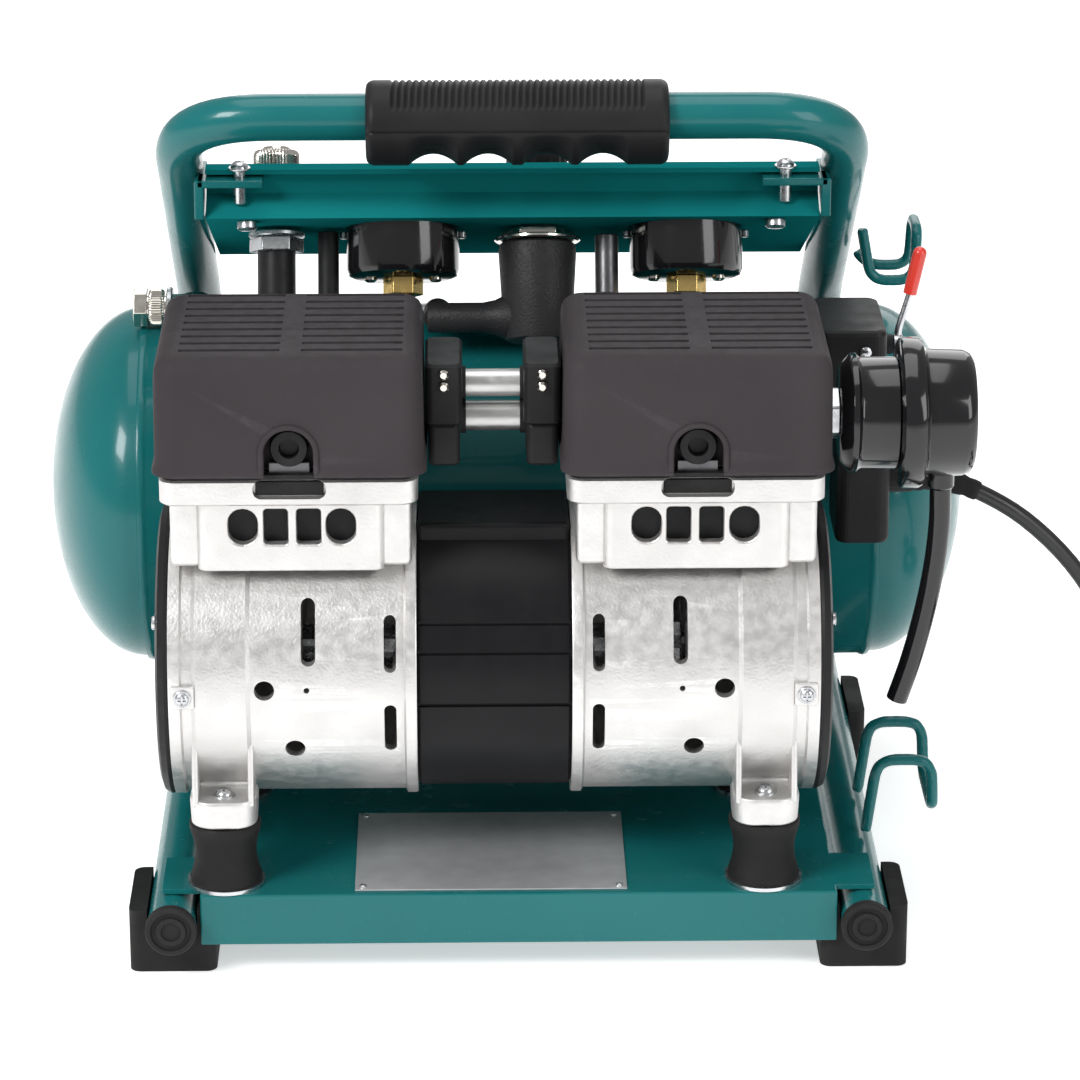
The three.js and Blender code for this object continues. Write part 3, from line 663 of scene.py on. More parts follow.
def make_tank():
    x0, x1, y0, y1, _, z1 = extents("tank_shell")
    radius, half, depth = (y1 - y0) / 2, (x1 - x0) / 2, 38
    centre = Vector(((x0 + x1) / 2, (y0 + y1) / 2, z1 - radius))
    barrel = half - depth - 2
    end = [((radius - 0.9) * math.sin(math.pi / 2 * k / 24),
            depth * (1 - math.cos(math.pi / 2 * k / 24)) - half) for k in range(25)]
    seam = [(radius - 0.8, -barrel - 1.2), (radius + 0.5, -barrel - 0.8), (radius + 0.9, -barrel + 0.8),
            (radius + 0.4, -barrel + 2.2), (radius, -barrel + 3)]
    profile = [*end, *seam]
    profile += [(r, -along) for r, along in reversed(profile)]
    show(turned("tank_skin", profile, centre, "x", 128), "teal_paint", replaces=["tank_shell"])
    bung = rod("tank_bung", Vector((middle("drain_valve_screw")[0], centre.y, 41)), "z", 6.5, 0, 12)
    show(bung, "teal_paint", width=0.3)
    for node in ("tank_saddle_left", "tank_saddle_right"):
        left, right = extents(node)[:2]
        for x in (left - 0.6, right + 0.6):
            arc = [(x, centre.y + (radius + 0.3) * math.cos(t), centre.z + (radius + 0.3) * math.sin(t))
                   for t in (math.radians(-123 + 6 * k) for k in range(4))]
            show(swept("saddle_weld", arc, 1.5, 12), "teal_paint")


def knurl(name, centre, axis, radius, start, end):
    """A sleeve with a straight knurl round it."""
    teeth, depth = 42, 0.5

    def radius_at(along, angle):
        edge = min(along - start, end - along)
        cut = depth * (0.5 - 0.5 * math.cos(teeth * angle)) * min(1, edge / 1.2)
        return radius - cut - 0.7 * max(0.0, 1 - edge / 0.8)

    stations = [start + (end - start) * k / 12 for k in range(13)]
    return skin(name, stations, radius_at, centre, axis, teeth * 6)


def make_couplings():
    centre = Vector((extents("tank_fitting")[0], FITTING_Y, FITTING_Z))
    show(prism("fitting_nut", hexagon(14), 0, 5.6, centre, "x"), "nickel", width=0.4,
         replaces=["tank_fitting"])
    show(knurl("fitting_ring", centre, "x", 7.4, 6.2, 12.4), "nickel")
    show(rod("fitting_neck", centre, "x", 5.4, 4, 24), "nickel")
    show(rod("fitting_washer", centre, "x", 8.2, 13.4, 15.8), "zinc_steel")
    foot = Vector((RISER_X, FITTING_Y, FITTING_Z - 14))
    show(rod("fitting_riser", foot, "z", 5.6, 0, 19), "nickel")
    show(rod("fitting_foot", foot, "z", 7.6, 0, 7), "teal_paint")
    base = on_panel(middle("panel_coupling_body")[0], GAUGE_ALONG, 2.8)
    show(prism("coupling_hex", hexagon(17), 0, 8, base, "panel"), "nickel", width=0.5,
         replaces=["panel_coupling_body"])
    nose = [(3.4, 5), (6, 5), (6, 28.8), (5.2, 30), (3.4, 30)]
    show(turned("coupling_nose", nose, base, "panel"), "nickel")
    sleeve = knurl("coupling_sleeve", base, "panel", 9.2, 13.5, 28.4)
    sleeve = carve(sleeve, rod("hole", base, "panel", 6.5, 0, 40))
    show(sleeve, "nickel", body="panel_sleeve", replaces=["panel_coupling_sleeve"])


# ---- the console

FOLD_Y = 166
FOLD_Z = 252.2
GAUGE_ALONG = 30


def on_panel(x, along, above):
    """A point on the tilted panel: so far down its slope from the fold, and so far above it."""
    return Vector((x, FOLD_Y + along * math.cos(TILT) + above * math.sin(TILT),
                   FOLD_Z - along * math.sin(TILT) + above * math.cos(TILT)))


def make_gauge(node):
    x0, x1 = extents(node)[:2]
    base = on_panel((x0 + x1) / 2, GAUGE_ALONG, 0)
    radius = (x1 - x0) / 2
    case = [(0, -20), (radius - 3, -20), (radius - 0.9, -19.2), (radius, -17), (radius, 3),
            (radius + 0.2, 4.4), (radius + 0.2, 6), (radius - 1, 7), (radius - 2.3, 6.4),
            (radius - 2.6, 2.8), (0, 2.8)]
    show(turned(node + "_case", case, base, "panel", 96), "gloss_black", replaces=[node])
    rim = [(radius - 2.4, 6.2), (radius - 0.2, 6.2), (radius + 0.25, 6.8), (radius - 0.4, 7.6),
           (radius - 2.2, 7.4)]
    show(turned(node + "_bezel", rim, base, "panel", 96), "nickel")
    dial = rod(node + "_dial", base, "panel", radius - 3, 2.4, 3.0, 96, 0.1)
    show(dial, "black_plastic", "dial_white")
    on_slope = Matrix(AXES["panel"]).transposed().to_4x4()
    ticks = []
    for k in range(28):
        start, end = radius - (8.4 if k % 3 == 0 else 6.6), radius - 4.6
        outline = [(start, -0.28), (end, -0.28), (end, 0.28), (start, 0.28)]
        turn = Matrix.Rotation(math.radians(45 - 10 * k), 4, "Z")
        ticks.append(lay(prism("tick", outline, 2.9, 3.1, ORIGIN, "z"), base, on_slope @ turn))
    show(merged(node + "_scale", *ticks), "black_plastic")
    show(prism(node + "_hex", hexagon(14), -27, -20, base, "panel"), "brass", width=0.4)
    show(rod(node + "_stem", base, "panel", 4.2, -34, -27), "brass")
    back = base - AXES["panel"][2] * 20
    for dx in (-13, 13):
        head = [(0, 0.4), (2.5, 0.4), (2.5, -0.8), (1.6, -1.7), (0, -1.9)]
        show(turned(node + "_screw", head, back + Vector((dx, 0, 0)), "panel", 24), "nickel")
    for dx in (-radius - 1.2, radius + 1.2):
        show(rod(node + "_stud", base + Vector((dx, 0, 0)), "panel", 1.5, -4.2, -1.2, 20), "zinc_steel")


def make_regulator():
    base = on_panel(middle("regulator_knob")[0], GAUGE_ALONG, 0)
    bowl = [(0, -46), (11.4, -46), (13, -45), (13.6, -43), (15.6, -10), (15.2, -7), (14, -6), (0, -6)]
    show(turned("regulator_bowl", bowl, base, "panel", 72), "black_plastic", "textured_casting",
         replaces=["regulator_body"])
    flange = [(8, -5.8), (16.4, -5.8), (17.2, -5.2), (17.2, -4.4), (16.4, -3.8), (8, -3.8)]
    show(turned("regulator_flange", flange, base, "panel", 64), "nickel")
    show(prism("regulator_nut", hexagon(25), -3.8, -1, base, "panel"), "nickel", width=0.4)
    show(rod("regulator_neck", base, "panel", 8.4, -6, 7), "black_plastic", "textured_casting")
    arm = base - AXES["panel"][2] * 36
    branch = [(0, -44), (5.6, -44), (6, -43), (6, -22), (7, -17), (9, -13), (9, 0), (0, 0)]
    show(turned("regulator_branch", branch, arm, "x", 48), "black_plastic", "textured_casting")
    elbow = arm + Vector((-40, 0, 0))
    show(rod("regulator_elbow", elbow, "y", 5.6, 0, 9), "black_plastic", "textured_casting")
    low, tall, lobes = 8, 27.5, 16

    def knob_radius(along, angle):
        edge = min(along - low, low + tall - along)
        lobe = 0.7 * (0.5 - 0.5 * math.cos(lobes * angle)) * min(1, edge / 4)
        return 12.8 - lobe - 0.03 * (along - low) - 2.2 * max(0.0, 1 - edge / 2.4) ** 2

    stations = [low + tall * k / 30 for k in range(31)]
    show(skin("regulator_grip", stations, knob_radius, base, "panel", 128), "black_plastic",
         body="regulator_knob", replaces=["regulator_knob"])


def make_console():
    x0, x1, y0, _, _, z1 = extents("console_panel")
    for x in (x0 + 13.5, x1 - 13.5):
        show(rod("panel_bolt_shank", Vector((x, y0 + 6, z1 - 14)), "z", 2.6, 0, 14, 32), "zinc_steel")
        screw("panel_bolt", Vector((x, y0 + 6, z1)), "z", 3.5, 3.4)
    for x in (x0 + 16, x1 - 17):
        spot = on_panel(x, 8, -0.4)
        head = [(0, 0), (4, 0), (4, -2.4), (3, -3.2), (0, -3.4)]
        show(turned("panel_nut", head, spot, "panel", 32), "zinc_steel")
    base = on_panel(middle("panel_coupling_body")[0], GAUGE_ALONG, 0)
    show(rod("left_pipe_tall", base, "panel", 7.6, -58, -4), "black_plastic", replaces=["left_pipe"])
    show(prism("left_pipe_nut", hexagon(19), -9.5, -4, base, "panel"), "zinc_steel", width=0.4)
    show(rod("left_pipe_washer", base, "panel", 11.2, -3.6, -1.4), "zinc_steel")
    thin = base + Vector((20.7, 0, 0))
    show(rod("left_pipe_thin", thin, "panel", 4.2, -58, -1.4), "black_plastic")
    link = base - AXES["panel"][2] * 54
    show(rod("left_pipe_link", link, "x", 4, -1, 21), "black_plastic")
    base = on_panel(middle("right_pipe")[0], GAUGE_ALONG, 0)
    show(rod("right_pipe_low", base, "panel", 4.4, -62, -26), "black_plastic", replaces=["right_pipe"])
    show(rod("right_pipe_high", base, "panel", 4.7, -27, -3), "black_plastic", "steel_dark")


# ---- the pump

CASE_INNER = 29
CASE_LENGTH = 92.5
STATOR_RADIUS = 53.5
PUMP_X = -8.9
SHAFT_Y = 66.5
SHAFT_Z = 111
DECK_Z = 184
FOOT_REACH = 102
FOOT_ROWS = ((22, 1), (111, -1))
# Each hole in a case's front: distance from the pump's middle, height, width, length, corner radius.
CASE_HOLES = (
    (69.3, 134.7, 5.4, 23, 2.6), (38.9, 130.7, 4.6, 20, 2.2), (38.9, 98, 4.6, 20, 2.2),
    (85.8, 114, 7.6, 7.6, 3.75), (74.7, 89, 7.6, 7.6, 3.75), (70, 114, 2.2, 2.2, 1.05),
)
# Each window under the deck: distance from the pump's middle, width, corner radius.
CASE_WINDOWS = ((92.9, 11, 5.3), (80.7, 9, 1.4), (68.5, 9, 1.4), (56.6, 11, 5.3))
SIDES = (("left", -1), ("right", 1))


def slot_cutter(x, z, width, height, radius, depth=50):
    outline = rounded(height / 2, width / 2, radius, 5)
    return prism("slot", outline, 0, depth, Vector((x, SHAFT_Y - 60, z)), "y")


def make_crankcase(name, side):
    inner, outer = PUMP_X + side * CASE_INNER, PUMP_X + side * (CASE_INNER + CASE_LENGTH)
    across = side * (outer - inner)
    start = Vector((inner, SHAFT_Y, SHAFT_Z))
    drum = [(9.5, 0), (56.2, 0), (56.6, 0.6), (56.6, 4), (55, 4.8), (55, 62), (56.2, 63.6), (56.2, 82.4),
            (55, 84), (55, across - 5), (56.2, across - 4.2), (56.2, across), (50.5, across), (50.5, 9),
            (9.5, 8)]
    drum = [(radius, side * along) for radius, along in drum]
    shell = turned(f"case_drum_{name}", drum, start, "x", 96)

    def spot(distance):
        return PUMP_X + side * distance

    cuts = [slot_cutter(spot(distance), *hole) for distance, *hole in CASE_HOLES]
    room = box("room", spot(75) - 37, spot(75) + 37, SHAFT_Y - 20, SHAFT_Y + 20, SHAFT_Z + 20, 175)
    shell = carve(shell, merged("cuts", *cuts), room)
    show(shell, "cast_aluminium", width=0.5, replaces=[f"crankcase_{name}"])

    near, far = sorted((inner + side * 1.5, outer - side * 1.5))
    front = SHAFT_Y - 43
    neck = lofted(f"case_neck_{name}", [(z, near + 10, far - 10, front, SHAFT_Y + 43, 4)
                                        for z in (157, DECK_Z + 1)])
    hollow = lofted("hollow", [(z, near + 14, far - 14, front + 5, SHAFT_Y + 38, 4)
                               for z in (150, DECK_Z + 5)])
    windows = [slot_cutter(spot(distance), 174.5, width, 13.8, radius, 30)
               for distance, width, radius in CASE_WINDOWS]
    neck = carve(neck, hollow, merged("windows", *windows))
    show(neck, "cast_aluminium", width=0.9)
    for left, right in ((near, near + 11.5), (far - 11.5, far)):
        show(block("case_shoulder", left, right, front + 2, SHAFT_Y + 41, 158, DECK_Z + 1, 2.4),
             "cast_aluminium")
    # A thin black sheet just behind the neck's windows: painted shade, standing for the dark inside of the
    # case.
    show(block("case_shade_sheet_behind_windows", near + 14.5, far - 14.5, front + 6, front + 7, 164, DECK_Z, 0.2),
         "black_plastic")

    head_x = (near + far) / 2
    wide, narrow = head_x - 48.2, head_x + 47.2
    levels = ((DECK_Z, 0.8), (DECK_Z + 0.8, 0), (193.2, 0), (194, 0.8))
    deck = lofted(f"case_deck_{name}", [(z, wide + g, narrow - g, SHAFT_Y - 47 + g, SHAFT_Y + 42 - g, 6)
                                        for z, g in levels])
    notch = prism("notch", rounded(3.6, 13.5, 3), -3, 3.4, Vector((head_x, SHAFT_Y - 47, 190.4)), "y")
    bore = rod("bore", Vector((head_x, SHAFT_Y, 170)), "z", 31.4, 0, 40)
    deck = carve(deck, notch, bore)
    show(deck, "cast_aluminium", width=0.7)
    show(block("deck_tab", head_x - 12.6, head_x + 12.6, SHAFT_Y - 45, SHAFT_Y - 43, 187.6, 193, 0.4),
         "black_rubber")
    gasket = lofted(f"gasket_{name}", [(z, wide + 1, narrow - 1, SHAFT_Y - 46, SHAFT_Y + 41, 6)
                                       for z in (194.1, 195.8)])
    gasket = carve(gasket, rod("bore", Vector((head_x, SHAFT_Y, 170)), "z", 33, 0, 40))
    show(gasket, "black_rubber")

    for y, toward in FOOT_ROWS:
        make_case_foot(PUMP_X + side * FOOT_REACH, y, toward)
    clip_x = spot(116.2)
    show(block("case_clip", clip_x - 4.4, clip_x + 4.4, 9.4, 14, 107.6, 116.4, 0.6), "cast_aluminium")
    screw("clip_screw", Vector((clip_x, 9.4, 112)), "front", 2.7, 2.4)


def make_case_foot(x, y, toward):
    """A cup on the rubber mount, with two gussets running up into the case."""
    rings = [(58.4, 11.4, 8), (59.2, 12.4, 8.6), (68, 12.8, 8.6), (69.4, 12.2, 8.2)]
    rings = [(z, x - half, x + half, y - half, y + half, corner) for z, half, corner in rings]
    show(lofted("case_foot", rings), "cast_aluminium", width=0.5)
    gusset = [(67, -10.6), (76, -9.6), (93, -6.5), (91, -4), (80, 2), (67, 13)]
    for dx in (-11.6, 9.2):
        outline = [(toward * b, a) for a, b in gusset]
        flank = prism("foot_gusset", outline, dx, dx + 2.4, Vector((x, y, 0)), "x")
        show(flank, "cast_aluminium", width=0.9)
    show(block("foot_back", x - 10, x + 10, *sorted((y + toward * 3, y + toward * 11)), 66, 72, 2),
         "cast_aluminium")
    screw("foot_screw", Vector((x, y - toward * 4, 69.2)), "z", 3.4, 3)


def make_motor():
    x0, x1 = PUMP_X - CASE_INNER + 0.3, PUMP_X + CASE_INNER - 0.3
    ring = [(30.5, x0), (STATOR_RADIUS - 1.1, x0), (STATOR_RADIUS, x0 + 1), (STATOR_RADIUS, x1 - 1),
            (STATOR_RADIUS - 1.1, x1), (30.5, x1)]
    shell = turned("stator_skin", ring, Vector((0, SHAFT_Y, SHAFT_Z)), "x", 128)
    cuts = []
    for dz in (25.4, 15.3, -4.6):
        y = SHAFT_Y - math.sqrt(STATOR_RADIUS ** 2 - dz ** 2)
        cuts.append(box("groove", x0 - 1, x1 + 1, y - 3, y + 1.3, SHAFT_Z + dz, SHAFT_Z + dz + 1.5))
    show(carve(shell, merged("grooves", *cuts)), "motor_black", width=0.3, replaces=["motor_stator"])
    top = block("stator_top", x0, x1, SHAFT_Y - 20, SHAFT_Y + 20, SHAFT_Z + 40, SHAFT_Z + 56, 2)
    show(top, "motor_black")


def make_fan_cover(name, side):
    x0, x1 = extents(f"fan_cover_{name}")[:2]
    start = Vector((x0 if side > 0 else x1, SHAFT_Y, SHAFT_Z))
    profile = [(0, 0), (56, 0), (56.4, side * 1.2), (55, side * 3.6), (52, side * 4.6), (47, side * 4.6),
               (45.6, side * 3.6), (20, side * 3.6), (18, side * 4.6), (0, side * 4.6)]
    disc = turned(f"fan_guard_{name}", profile, start, "x", 96)
    slots = []
    for k in range(20):
        angle = 2 * math.pi * k / 20
        at = start + Vector((0, 33 * math.cos(angle), 33 * math.sin(angle)))
        slot = prism("vent", rounded(10, 2.6, 2.4, 4), -8, 8, ORIGIN, "x")
        slots.append(lay(slot, at, Matrix.Rotation(angle, 4, "X")))
    show(carve(disc, merged("vents", *slots)), "black_plastic", width=0.3, replaces=[f"fan_cover_{name}"])
    for angle in (0.6, 2.6, 4.6):
        at = start + Vector((side * 4.2, 50 * math.cos(angle), 50 * math.sin(angle)))
        show(rod("guard_screw", at, "x", 2.6, min(0, side * 1.6), max(0, side * 1.6), 24, 0.4), "zinc_steel")


def make_hood(name):
    x0, x1, y0, y1, z0, z1 = extents(f"head_cover_{name}")
    flare = ((z0, 0.9), (z0 + 1.2, 0.9), (z0 + 3.4, 0.1), (z0 + 6, -0.1), (z1 - 8, -0.5), (z1 - 4.6, -0.9),
             (z1 - 2.2, -2), (z1 - 0.7, -3.8), (z1, -6.2))
    rings = [(z, x0 - g, x1 + g, y0 - g, y1 + g, 8.5 + g * 0.6) for z, g in flare]
    hood = lofted(f"hood_{name}", rings, 10)
    head_x = (x0 + x1) / 2
    arch = [(9.3 * math.cos(math.pi * k / 20), 9.3 * math.sin(math.pi * k / 20)) for k in range(21)]
    arch = [(9.3, -14), *arch, (-9.3, -14)]
    opening = prism("arch", [(b, a) for a, b in arch], -3, 11, Vector((head_x, y0, z0 + 9)), "y")
    cuts = []
    for k in range(9):
        y = y0 + 13 + k * 8.6
        for a, b in ((-40, -3), (5, 42)):
            cuts.append(box("groove", head_x + a, head_x + b, y, y + 2.6, z1 - 1.5, z1 + 4))
            cuts.append(box("notch", head_x + b - 3, head_x + b - 1, y - 0.2, y + 2.8, z1 - 3.2, z1 + 3))
    show(carve(hood, opening, merged("grooves", *cuts)), "hood_plastic", width=0.35,
         replaces=[f"head_cover_{name}"])
    rim = [(head_x + 10.2 * math.cos(t), y0 + 0.2, z0 + 9 + 10.2 * math.sin(t))
           for t in (math.pi * k / 20 for k in range(21))]
    rim = [(head_x + 10.2, y0, z0 + 1.5), *rim, (head_x - 10.2, y0, z0 + 1.5)]
    show(swept("arch_rim", rim, 1.1, 16), "hood_plastic")
    socket = [(3.8, -1), (6.6, -1), (7.2, 0), (7.2, 3), (3.8, 3)]
    show(turned("arch_socket", socket, Vector((head_x, y0 + 7, z0 + 9)), "y", 48), "black_plastic")
    show(rod("arch_core", Vector((head_x, y0 + 9, z0 + 9)), "y", 3.9, 0, 1.6, 32), "black_plastic")
    plate = block("arch_plate", head_x - 7.6, head_x + 7.6, y0 + 7, y0 + 8.4, z0 - 1, z0 + 3.4, 0.4)
    show(plate, "zinc_steel", "steel_dark")


def make_manifold(name):
    x0, x1, y0, y1, z0, z1 = extents(f"manifold_block_{name}")
    waist = (z0 + z1) / 2 - 4
    rings = [(z0, x0 + 1.5, x1 - 1.5, y0 + 2.6, y1 - 1, 2.5), (z0 + 1, x0 + 1, x1 - 1, y0 + 1.6, y1, 3),
             (waist - 1, x0 + 0.8, x1 - 0.8, y0 + 1.4, y1, 3), (waist, x0 + 0.6, x1 - 0.6, y0 + 2.2, y1, 3),
             (waist + 1, x0, x1, y0 + 0.6, y1, 3), (waist + 9, x0, x1, y0 + 1.8, y1, 3),
             (z1 - 5, x0, x1, y0, y1, 3), (z1 - 1, x0, x1, y0, y1, 3),
             (z1, x0 + 1, x1 - 1, y0 + 1, y1 - 1, 2.5)]
    show(lofted(f"manifold_{name}", rings), "black_plastic", replaces=[f"manifold_block_{name}"])
    for dz in (3.6, 8.4):
        head = [(0, 0.4), (2, 0.4), (2, -0.8), (1.2, -1.5), (0, -1.6)]
        show(turned("manifold_screw", head, Vector(((x0 + x1) / 2, y0, z1 - dz)), "y", 24), "nickel")


def make_crossover(node, radius):
    x0, x1 = extents(node)[:2]
    centre = Vector((0, *middle(node)[1:]))
    bore = 3.6
    ring = [(bore, x0), (radius - 0.3, x0), (radius, x0 + 0.4), (radius, x1 - 0.4), (radius - 0.3, x1),
            (bore, x1)]
    show(turned(node + "_skin", ring, centre, "x", 64), "cast_aluminium", "satin_aluminium",
         replaces=[node])
    for x in (x0, x1):
        collar = [(bore, x - 1), (radius + 1, x - 1), (radius + 1, x + 1), (bore, x + 1)]
        show(turned("tube_seal", collar, centre, "x", 48), "black_rubber")


def make_filter():
    x0, x1 = extents("intake_filter_body")[:2]
    centre = Vector((0, *middle("intake_filter_body")[1:]))
    body = [(0, x0), (17, x0), (18.2, x0 + 0.4), (22.2, x0 + 3.6), (22.5, x0 + 4.4), (22.5, x0 + 6),
            (21.4, x0 + 7), (21, x0 + 8), (21, x1 - 0.4), (20.6, x1), (0, x1)]
    show(turned("filter_body_skin", body, centre, "x", 96), "gloss_black", replaces=["intake_filter_body"])
    x0, x1 = extents("intake_filter_cap")[:2]
    cap = [(0, x0), (26.6, x0), (28, x0 + 0.8), (28.3, x0 + 1.8), (28.3, x0 + 7.4), (27.4, x0 + 8.8),
           (25, x0 + 9.6), (24.2, x0 + 10.4), (24, x0 + 12), (23.6, x1 - 4), (22.6, x1 - 1.4), (20.6, x1),
           (13, x1), (12, x1 - 0.8), (0, x1 - 0.8)]
    show(turned("filter_cap_skin", cap, centre, "x", 96), "gloss_black", replaces=["intake_filter_cap"])
    nozzle = [(0, 179.5), (4.4, 179.5), (5, 180.2), (5, 190), (0, 190)]
    top = Vector((extents("intake_tube")[1] - HOSE_RADIUS, centre.y, 0))
    show(turned("filter_nozzle", nozzle, top, "z", 48), "gloss_black")


# ---- switch, plates and plug

def make_switch():
    """The lever with its sleeve, the lead's tapered strain relief and the box's screws."""
    x0, x1, y0, _, _, z1 = extents("switch_box")
    x, y, z = extents("switch_lever")[0], 138, 208
    show(rod("lever_boss", Vector((x, y, z)), "x", 4, 0, 4), "zinc_steel", body="switch_lever",
         replaces=["switch_lever"])
    wire = bent([(x + 2, y, z), (x + 2, y, z + 6), (x + 7, y + 2, z + 22), (x + 10, y + 3, z + 36)], 2.5)
    show(swept("lever_wire", wire, 1.4, 16), "zinc_steel", body="switch_lever")
    sleeve = [(x + 6.4, y + 2, z + 20), (x + 10, y + 3, z + 36)]
    radius = 2.7
    show(swept("lever_sleeve", sleeve, radius, 24), "zinc_steel", "red_vinyl", body="switch_lever")
    tip = Vector(sleeve[1])
    curve = [(radius * math.cos(a), radius * math.sin(a))
             for a in (math.radians(-75 + 15 * k) for k in range(11))]
    ball = [(0, -radius), *curve, (0, radius)]
    show(turned("lever_tip", ball, tip, "z", 32), "zinc_steel", "red_vinyl", body="switch_lever")
    boot_route = catmull([place(*p) for p in LEAD_ROUTE[:4]], 8)[:17]
    boot = tube_curve("lead_boot", boot_route, 6.4 * MM, 24)
    for k, point in enumerate(boot.data.splines[0].points):
        point.radius = 1 - 0.4 * k / 16 - (0.06 if k % 3 == 2 else 0)
    show(boot, "black_rubber")
    head = [(0, 0.2), (2.2, 0.2), (2.2, -0.8), (1.4, -1.4), (0, -1.5)]
    for down, back in ((8, 6), (38, 0)):
        spot = Vector(((x0 + x1) / 2, y0 + back, z1 - down))
        show(turned("switch_screw", head, spot, "y", 24), "zinc_steel")


def make_data_plate():
    top = extents("base_plate")[5]
    show(block("data_plate", -62, 41, 11, 84, top, top + 0.6, 0.2), "teal_paint", "plate_silver")
    head = [(0, 0), (1.4, 0), (1.3, 0.6), (0.8, 1), (0, 1.1)]
    for x in (-59, 38):
        for y in (14, 81):
            show(turned("rivet", head, Vector((x, y, top + 0.5)), "z", 20), "zinc_steel")


def make_mounts():
    for end in ("front", "rear"):
        for name in ("left", "right"):
            node = f"rubber_mount_{end}_{name}"
            x0, x1, y0, y1, z0, z1 = extents(node)
            radius = (x1 - x0) / 2
            centre = Vector(((x0 + x1) / 2, (y0 + y1) / 2, 0))
            waist = [(radius - 1.9 * math.sin(math.pi * k / 12), z0 + 3 + (z1 - z0 - 6) * k / 12)
                     for k in range(13)]
            profile = [(0, z0), (radius - 0.6, z0), (radius, z0 + 0.8), *waist, (radius, z1 - 0.8),
                       (radius - 0.6, z1), (0, z1)]
            show(turned(node + "_skin", profile, centre, "z", 56), "black_rubber", replaces=[node])
            steel = [(0, z0 - 0.2), (radius + 1.2, z0 - 0.2), (radius + 1.2, z0 + 1.2), (0, z0 + 1.2)]
            show(turned("mount_washer", steel, centre, "z", 48), "zinc_steel")


def make_plug():
    x, _, z = middle("mains_plug")
    centre = Vector((x, 0, z))
    body = [(0, 23), (17.4, 23), (18.5, 24.2), (18.5, 30), (17.6, 31), (17.6, 46), (18.2, 48), (17, 53),
            (13, 57), (9, 58), (0, 58)]
    pieces = [show(turned("plug_body", body, centre, "y", 64), "cable_pvc", replaces=["mains_plug"])]
    for k in range(5):
        ring = [(0, 58 + 3 * k), (8 - 0.7 * k, 58 + 3 * k), (8 - 0.7 * k, 60 + 3 * k), (0, 60 + 3 * k)]
        pieces.append(show(turned("plug_boot", ring, centre, "y", 40), "cable_pvc"))
    pin = [(0, 4), (1.6, 4), (2.3, 5), (2.3, 24), (0, 24)]
    for dx in (-9.5, 9.5):
        prong = turned("plug_pin", pin, centre + Vector((dx, 0, 0)), "y", 32)
        pieces.append(show(prong, "cable_pvc", "nickel"))
    return pieces


def make_pieces():
    make_frame_tube()
    make_grip()
    make_hooks()
    make_tank()
    make_couplings()
    make_gauge("gauge_left")
    make_gauge("gauge_right")
    make_regulator()
    make_console()
    for name, side in SIDES:
        make_crankcase(name, side)
        make_fan_cover(name, side)
        make_hood(name)
        make_manifold(name)
    make_motor()
    make_crossover("crossover_tube_upper", 5.2)
    make_crossover("crossover_tube_lower", 5.6)
    make_filter()
    make_switch()
    make_data_plate()
    make_mounts()


# ---- the cords

LEAD_RADIUS = 3.25
LEAD_ROUTE = [
    (154.4, 125, 158), (166, 125, 157), (182, 124.5, 151.5), (201, 124, 140), (220, 125, 121),
    (236, 127, 96), (250, 131, 66), (264, 137, 33), (279, 146, 9.5), (296, 156, 3.6),
]
COIL_X = 318
COIL_Y = 110
COIL_START = 97
# Radius and height of each full turn: inwards on the floor, outwards on top of those, then one more.
COIL_RINGS = [(41.2, 3.6), (34.6, 3.6), (28, 3.6), (28, 10.2), (34.6, 10.2), (41.2, 10.2), (34.6, 16.8)]
HOSE_RADIUS = 4.1


def catmull(points, steps):
    """A smooth curve through the points, as a dense list."""
    out = []
    padded = [points[0] * 2 - points[1], *points, points[-1] * 2 - points[-2]]
    for i in range(1, len(padded) - 2):
        a, b, c, d = padded[i - 1], padded[i], padded[i + 1], padded[i + 2]
        for k in range(steps):
            t = k / steps
            out.append(0.5 * ((2 * b) + (c - a) * t + (2 * a - 5 * b + 4 * c - d) * t * t
                              + (3 * b - a - 3 * c + d) * t ** 3))
    return [*out, points[-1]]


def ease(share):
    share = min(1.0, max(0.0, share))
    return share * share * (3 - 2 * share)


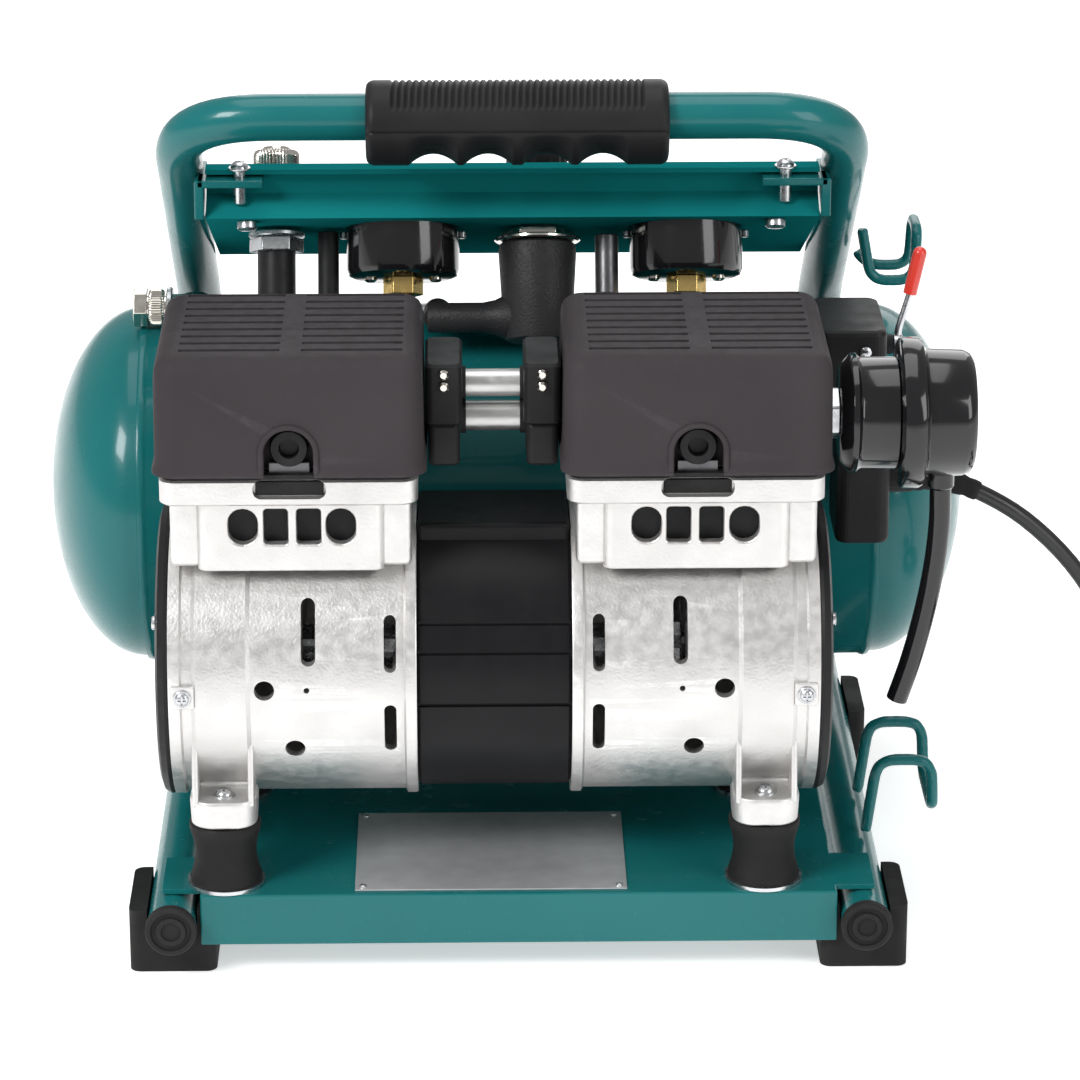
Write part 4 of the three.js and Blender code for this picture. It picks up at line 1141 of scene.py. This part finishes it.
def coil_turns():
    """The stored turns, clockwise from the lead's arrival to where it leaves for the plug."""
    points = []
    per_turn = 32
    sweep = (len(COIL_RINGS) - 1) + COIL_START / 360
    count = round(sweep * per_turn)
    for i in range(count + 1):
        at = sweep * i / count
        ring = min(int(at), len(COIL_RINGS) - 1)
        radius, height = COIL_RINGS[ring]
        if ring < len(COIL_RINGS) - 2:
            following = COIL_RINGS[ring + 1]
            radius += (following[0] - radius) * ease((at - ring) * 4 - 3)
            height += (following[1] - height) * ease((at - ring) * 4 - 3)
        elif ring == len(COIL_RINGS) - 1:
            before = COIL_RINGS[ring - 1]
            radius = before[0] + (radius - before[0]) * ease((at - ring) * 4)
            height = before[1] + (height - before[1]) * ease((at - ring) * 8)
        if at < 0.25:
            radius += 7.4 * (1 - ease(at * 4))
        angle = math.radians(COIL_START) - 2 * math.pi * at
        points.append(place(COIL_X + radius * math.cos(angle), COIL_Y + radius * math.sin(angle), height))
    return points


def tube_curve(name, points, radius, sides=10):
    """One open spline through the points, with a round section."""
    data = bpy.data.curves.new(name, "CURVE")
    data.dimensions = "3D"
    data.bevel_depth = radius
    data.bevel_resolution = sides // 2
    data.use_fill_caps = True
    spline = data.splines.new("POLY")
    spline.points.add(len(points) - 1)
    for target, point in zip(spline.points, points):
        target.co = (*point, 1)
    spline.use_smooth = True
    return bpy.data.objects.new(name, data)


def make_cords(plug):
    free = [place(*p) for p in LEAD_ROUTE]
    plug_x = middle("mains_plug")[0]
    into_plug = [place(plug_x, y, z) for y, z in ((96, 17.6), (84, 18.5), (71, 18.8), (60, 18.8))]
    points = catmull([*free, *coil_turns(), *into_plug], 4)
    lead = tube_curve("mains_lead", points, LEAD_RADIUS * MM)
    join_body(lead, "frame", "cable_pvc")
    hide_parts("mains_cord", "cord_coil")

    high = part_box("intake_tube")[1]
    hose_x = high[0] / MM - HOSE_RADIUS - MIDDLE_X / MM
    route = [(hose_x, 50, 179.2), (hose_x, 50, 165), (hose_x - 1.5, 50, 148), (hose_x - 4.5, 50, 130),
             (hose_x - 9, 51, 110), (hose_x - 14, 52, 93)]
    points = catmull([place(*p) for p in route], 6)
    hose = tube_curve("intake_hose", points, HOSE_RADIUS * MM, 16)
    join_body(hose, "frame", "gloss_black")
    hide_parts("intake_tube")


# ---- CAD nodes that stay

def dress_carried_nodes():
    """Gives each CAD node that still shows its material, welded corners and a small round edge."""
    slots = {entry["node"]: entry["material_slot"] for entry in frame["record"]["subparts"]}
    for name, node in nodes.items():
        if node.hide_render:
            continue
        node.data.materials.clear()
        # The console panel gets the lighter copy of the teal paint, whose extra lightness is painted light.
        finish = "console_teal_with_painted_light" if name == "console_panel" else slots[name]
        node.data.materials.append(MATERIALS[finish])
        weld = node.modifiers.new("weld", "WELD")
        weld.merge_threshold = 0.00002
        soften(node, 0.6, 2)


make_camera()
make_cords(make_plug())
make_pieces()
make_lights()
make_floor()
dress_carried_nodes()
